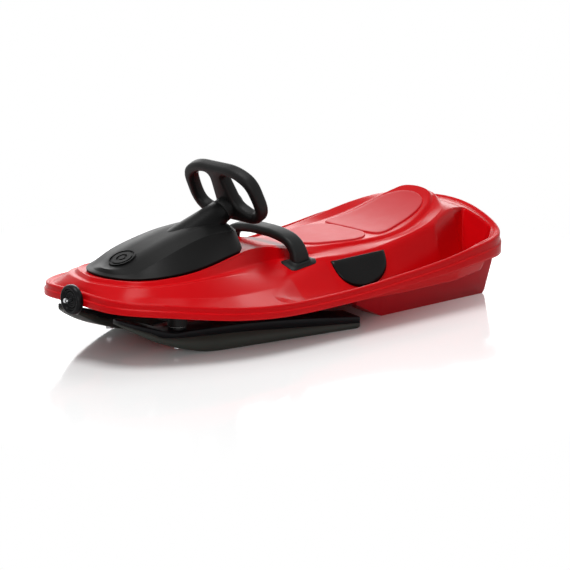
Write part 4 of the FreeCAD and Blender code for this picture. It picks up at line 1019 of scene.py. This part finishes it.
def floor_material():
    """Pale glossy floor that fades to plain white away from the sled."""
    material, nodes, links, shader = node_material("floor_white")
    slow = noise(nodes, links, FLOOR_NOISE_SCALE, FLOOR_NOISE_DETAIL)
    links.new(ramp(nodes, links, slow, FLOOR_DARK, FLOOR_LIGHT), shader.inputs["Base Color"])
    shader.inputs["Roughness"].default_value = FLOOR_ROUGHNESS
    shader.inputs["Specular IOR Level"].default_value = FLOOR_GLOSS
    shown = background_rays(nodes, links)
    rise = rise_outwards(nodes, links, FLOOR_LIFT_SHAPE, FLOOR_LIFT_START, FLOOR_LIFT_END, FLOOR_LIFT)
    lift = nodes.new("ShaderNodeEmission")
    links.new(calculated(nodes, links, "MULTIPLY", rise, shown), lift.inputs["Strength"])
    lit = nodes.new("ShaderNodeAddShader")
    links.new(shader.outputs["BSDF"], lit.inputs[0])
    links.new(lift.outputs["Emission"], lit.inputs[1])
    fade = rise_outwards(nodes, links, FLOOR_FADE_SHAPE, FLOOR_FADE_START, FLOOR_FADE_END, WHITE)
    white = nodes.new("ShaderNodeEmission")
    white.inputs["Strength"].default_value = WHITE
    mix = nodes.new("ShaderNodeMixShader")
    links.new(calculated(nodes, links, "MULTIPLY", fade, shown), mix.inputs["Fac"])
    links.new(lit.outputs["Shader"], mix.inputs[1])
    links.new(white.outputs["Emission"], mix.inputs[2])
    links.new(mix.outputs["Shader"], nodes["Material Output"].inputs["Surface"])
    return material


def floor_sheet():
    """The floor as one large square."""
    mesh = bpy.data.meshes.new("floor")
    corners = [(x * FLOOR_HALF_SIZE, y * FLOOR_HALF_SIZE, 0) for x, y in ((-1, -1), (1, -1), (1, 1), (-1, 1))]
    mesh.from_pydata(corners, [], [(0, 1, 2, 3)])
    mesh.materials.append(floor_material())
    return placed("floor", mesh)


# World: strength of its white as light
WORLD_STRENGTH = 0.10

# Lamps: place, the point each looks at, width, height and power
LAMPS = {
    "top_light": ((0.5, 0.2, 2.8), (0, 0, 0), 1.4, 1.4, 50),
    "side_light": ((2.5, 2.8, 0.9), (0.0, 0, 0.15), 2.0, 1.2, 27),
    "back_light": ((-2.5, -2.7, 1.5), (0.0, 0, 0.2), 4.2, 1.9, 60),
}

# Camera, fitted to the photograph
CAMERA_PLACE = (3.936, 4.416, 1.485)
CAMERA_TARGET = (-0.0522, 0.0, 0.0636)
CAMERA_LENS = 168.1
CAMERA_SENSOR = 36.0


def studio_world():
    """White round the scene: full where it is seen, weaker as light."""
    world = bpy.data.worlds.new("studio")
    bpy.context.scene.world = world
    world.use_nodes = True
    nodes = world.node_tree.nodes
    links = world.node_tree.links
    background = nodes["Background"]
    background.inputs["Color"].default_value = (1, 1, 1, 1)
    shown = background_rays(nodes, links)
    links.new(between(nodes, links, shown, WORLD_STRENGTH, WHITE), background.inputs["Strength"])


def aimed(piece, place, target):
    """Puts a lamp or camera at a place and turns it to a target."""
    piece.location = place
    piece.rotation_euler = (Vector(target) - Vector(place)).to_track_quat("-Z", "Y").to_euler()


def soft_light(name, place, target, width, height, power):
    """A large area lamp."""
    data = bpy.data.lights.new(name, "AREA")
    data.shape = "RECTANGLE"
    data.size = width
    data.size_y = height
    data.energy = power
    aimed(placed(name, data), place, target)


def photo_camera():
    """The camera at the photograph's viewing angle."""
    data = bpy.data.cameras.new("photo_camera")
    data.lens = CAMERA_LENS
    data.sensor_width = CAMERA_SENSOR
    camera = placed("photo_camera", data)
    aimed(camera, CAMERA_PLACE, CAMERA_TARGET)
    bpy.context.scene.camera = camera


def stage():
    """Floor, world, lamps and camera."""
    floor_sheet()
    studio_world()
    for name, lamp in LAMPS.items():
        soft_light(name, *lamp)
    photo_camera()
    bpy.context.scene.view_settings.view_transform = "Standard"


def keep(piece, body, slot, *nodes):
    """Ties a piece to its body and hides the CAD nodes it stands for; its finish is not used."""
    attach(piece, body)
    if nodes:
        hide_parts(*nodes)


def keep_sides(surface):
    """Makes the grips, boots and skis of both sides and ties the grips and skis to their bodies."""
    left_grip = grip(surface)
    left_boot = boot(surface)
    left_ski = ski()
    grips = {"left": left_grip, "right": other_hand(left_grip, "grip_right")}
    boots = {"left": left_boot, "right": other_hand(left_boot, "leg_boot_right")}
    right_ski = [other_hand(piece, piece.name.replace("left", "right")) for piece in left_ski]
    skis = {"left": left_ski, "right": right_ski}
    for side, sign in (("left", 1), ("right", -1)):
        keep(grips[side], "hull", "grip_black", "side_grip_" + side)
        boot_blend(boots[side], surface, sign)
        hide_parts("leg_frame_" + side)
        body, lid, boss = skis[side]
        keep(body, "ski_" + side, "ski_grey", "ski_" + side)
        keep(lid, "ski_" + side, "ski_black", "ski_cover_" + side)
        keep(boss, "ski_" + side, "ski_black")


def main():
    """Dresses the frame, makes each piece and ties all but the boots to their bodies, then sets the stage."""
    dress_frame()
    hull_piece, surface = hull()
    for name, shares in (("seat_panel", SEAT_PANEL_SHARES), ("back_panel", BACK_PANEL_SHARES)):
        keep(panel(name, shares, surface), "hull", "hull_red")
    thicken(hull_piece, SHELL_WALL)
    keep(hull_piece, "hull", "hull_red", "deck_shell")
    keep(hood(), "hull", "hood_black", "hood")
    keep(snout(), "hull", "hood_black")
    keep(tub(), "hull", "tub_red", "rear_tub")
    keep(guide(), "hull", "fairlead_black", "tow_fairlead")
    keep(wheel_plate(), "steering", "wheel_black", "steering_wheel")
    keep(wheel_hub(), "steering", "wheel_black")
    keep(handle(), "brake", "handle_black", "brake_handle")
    keep_sides(surface)
    stage()


main()
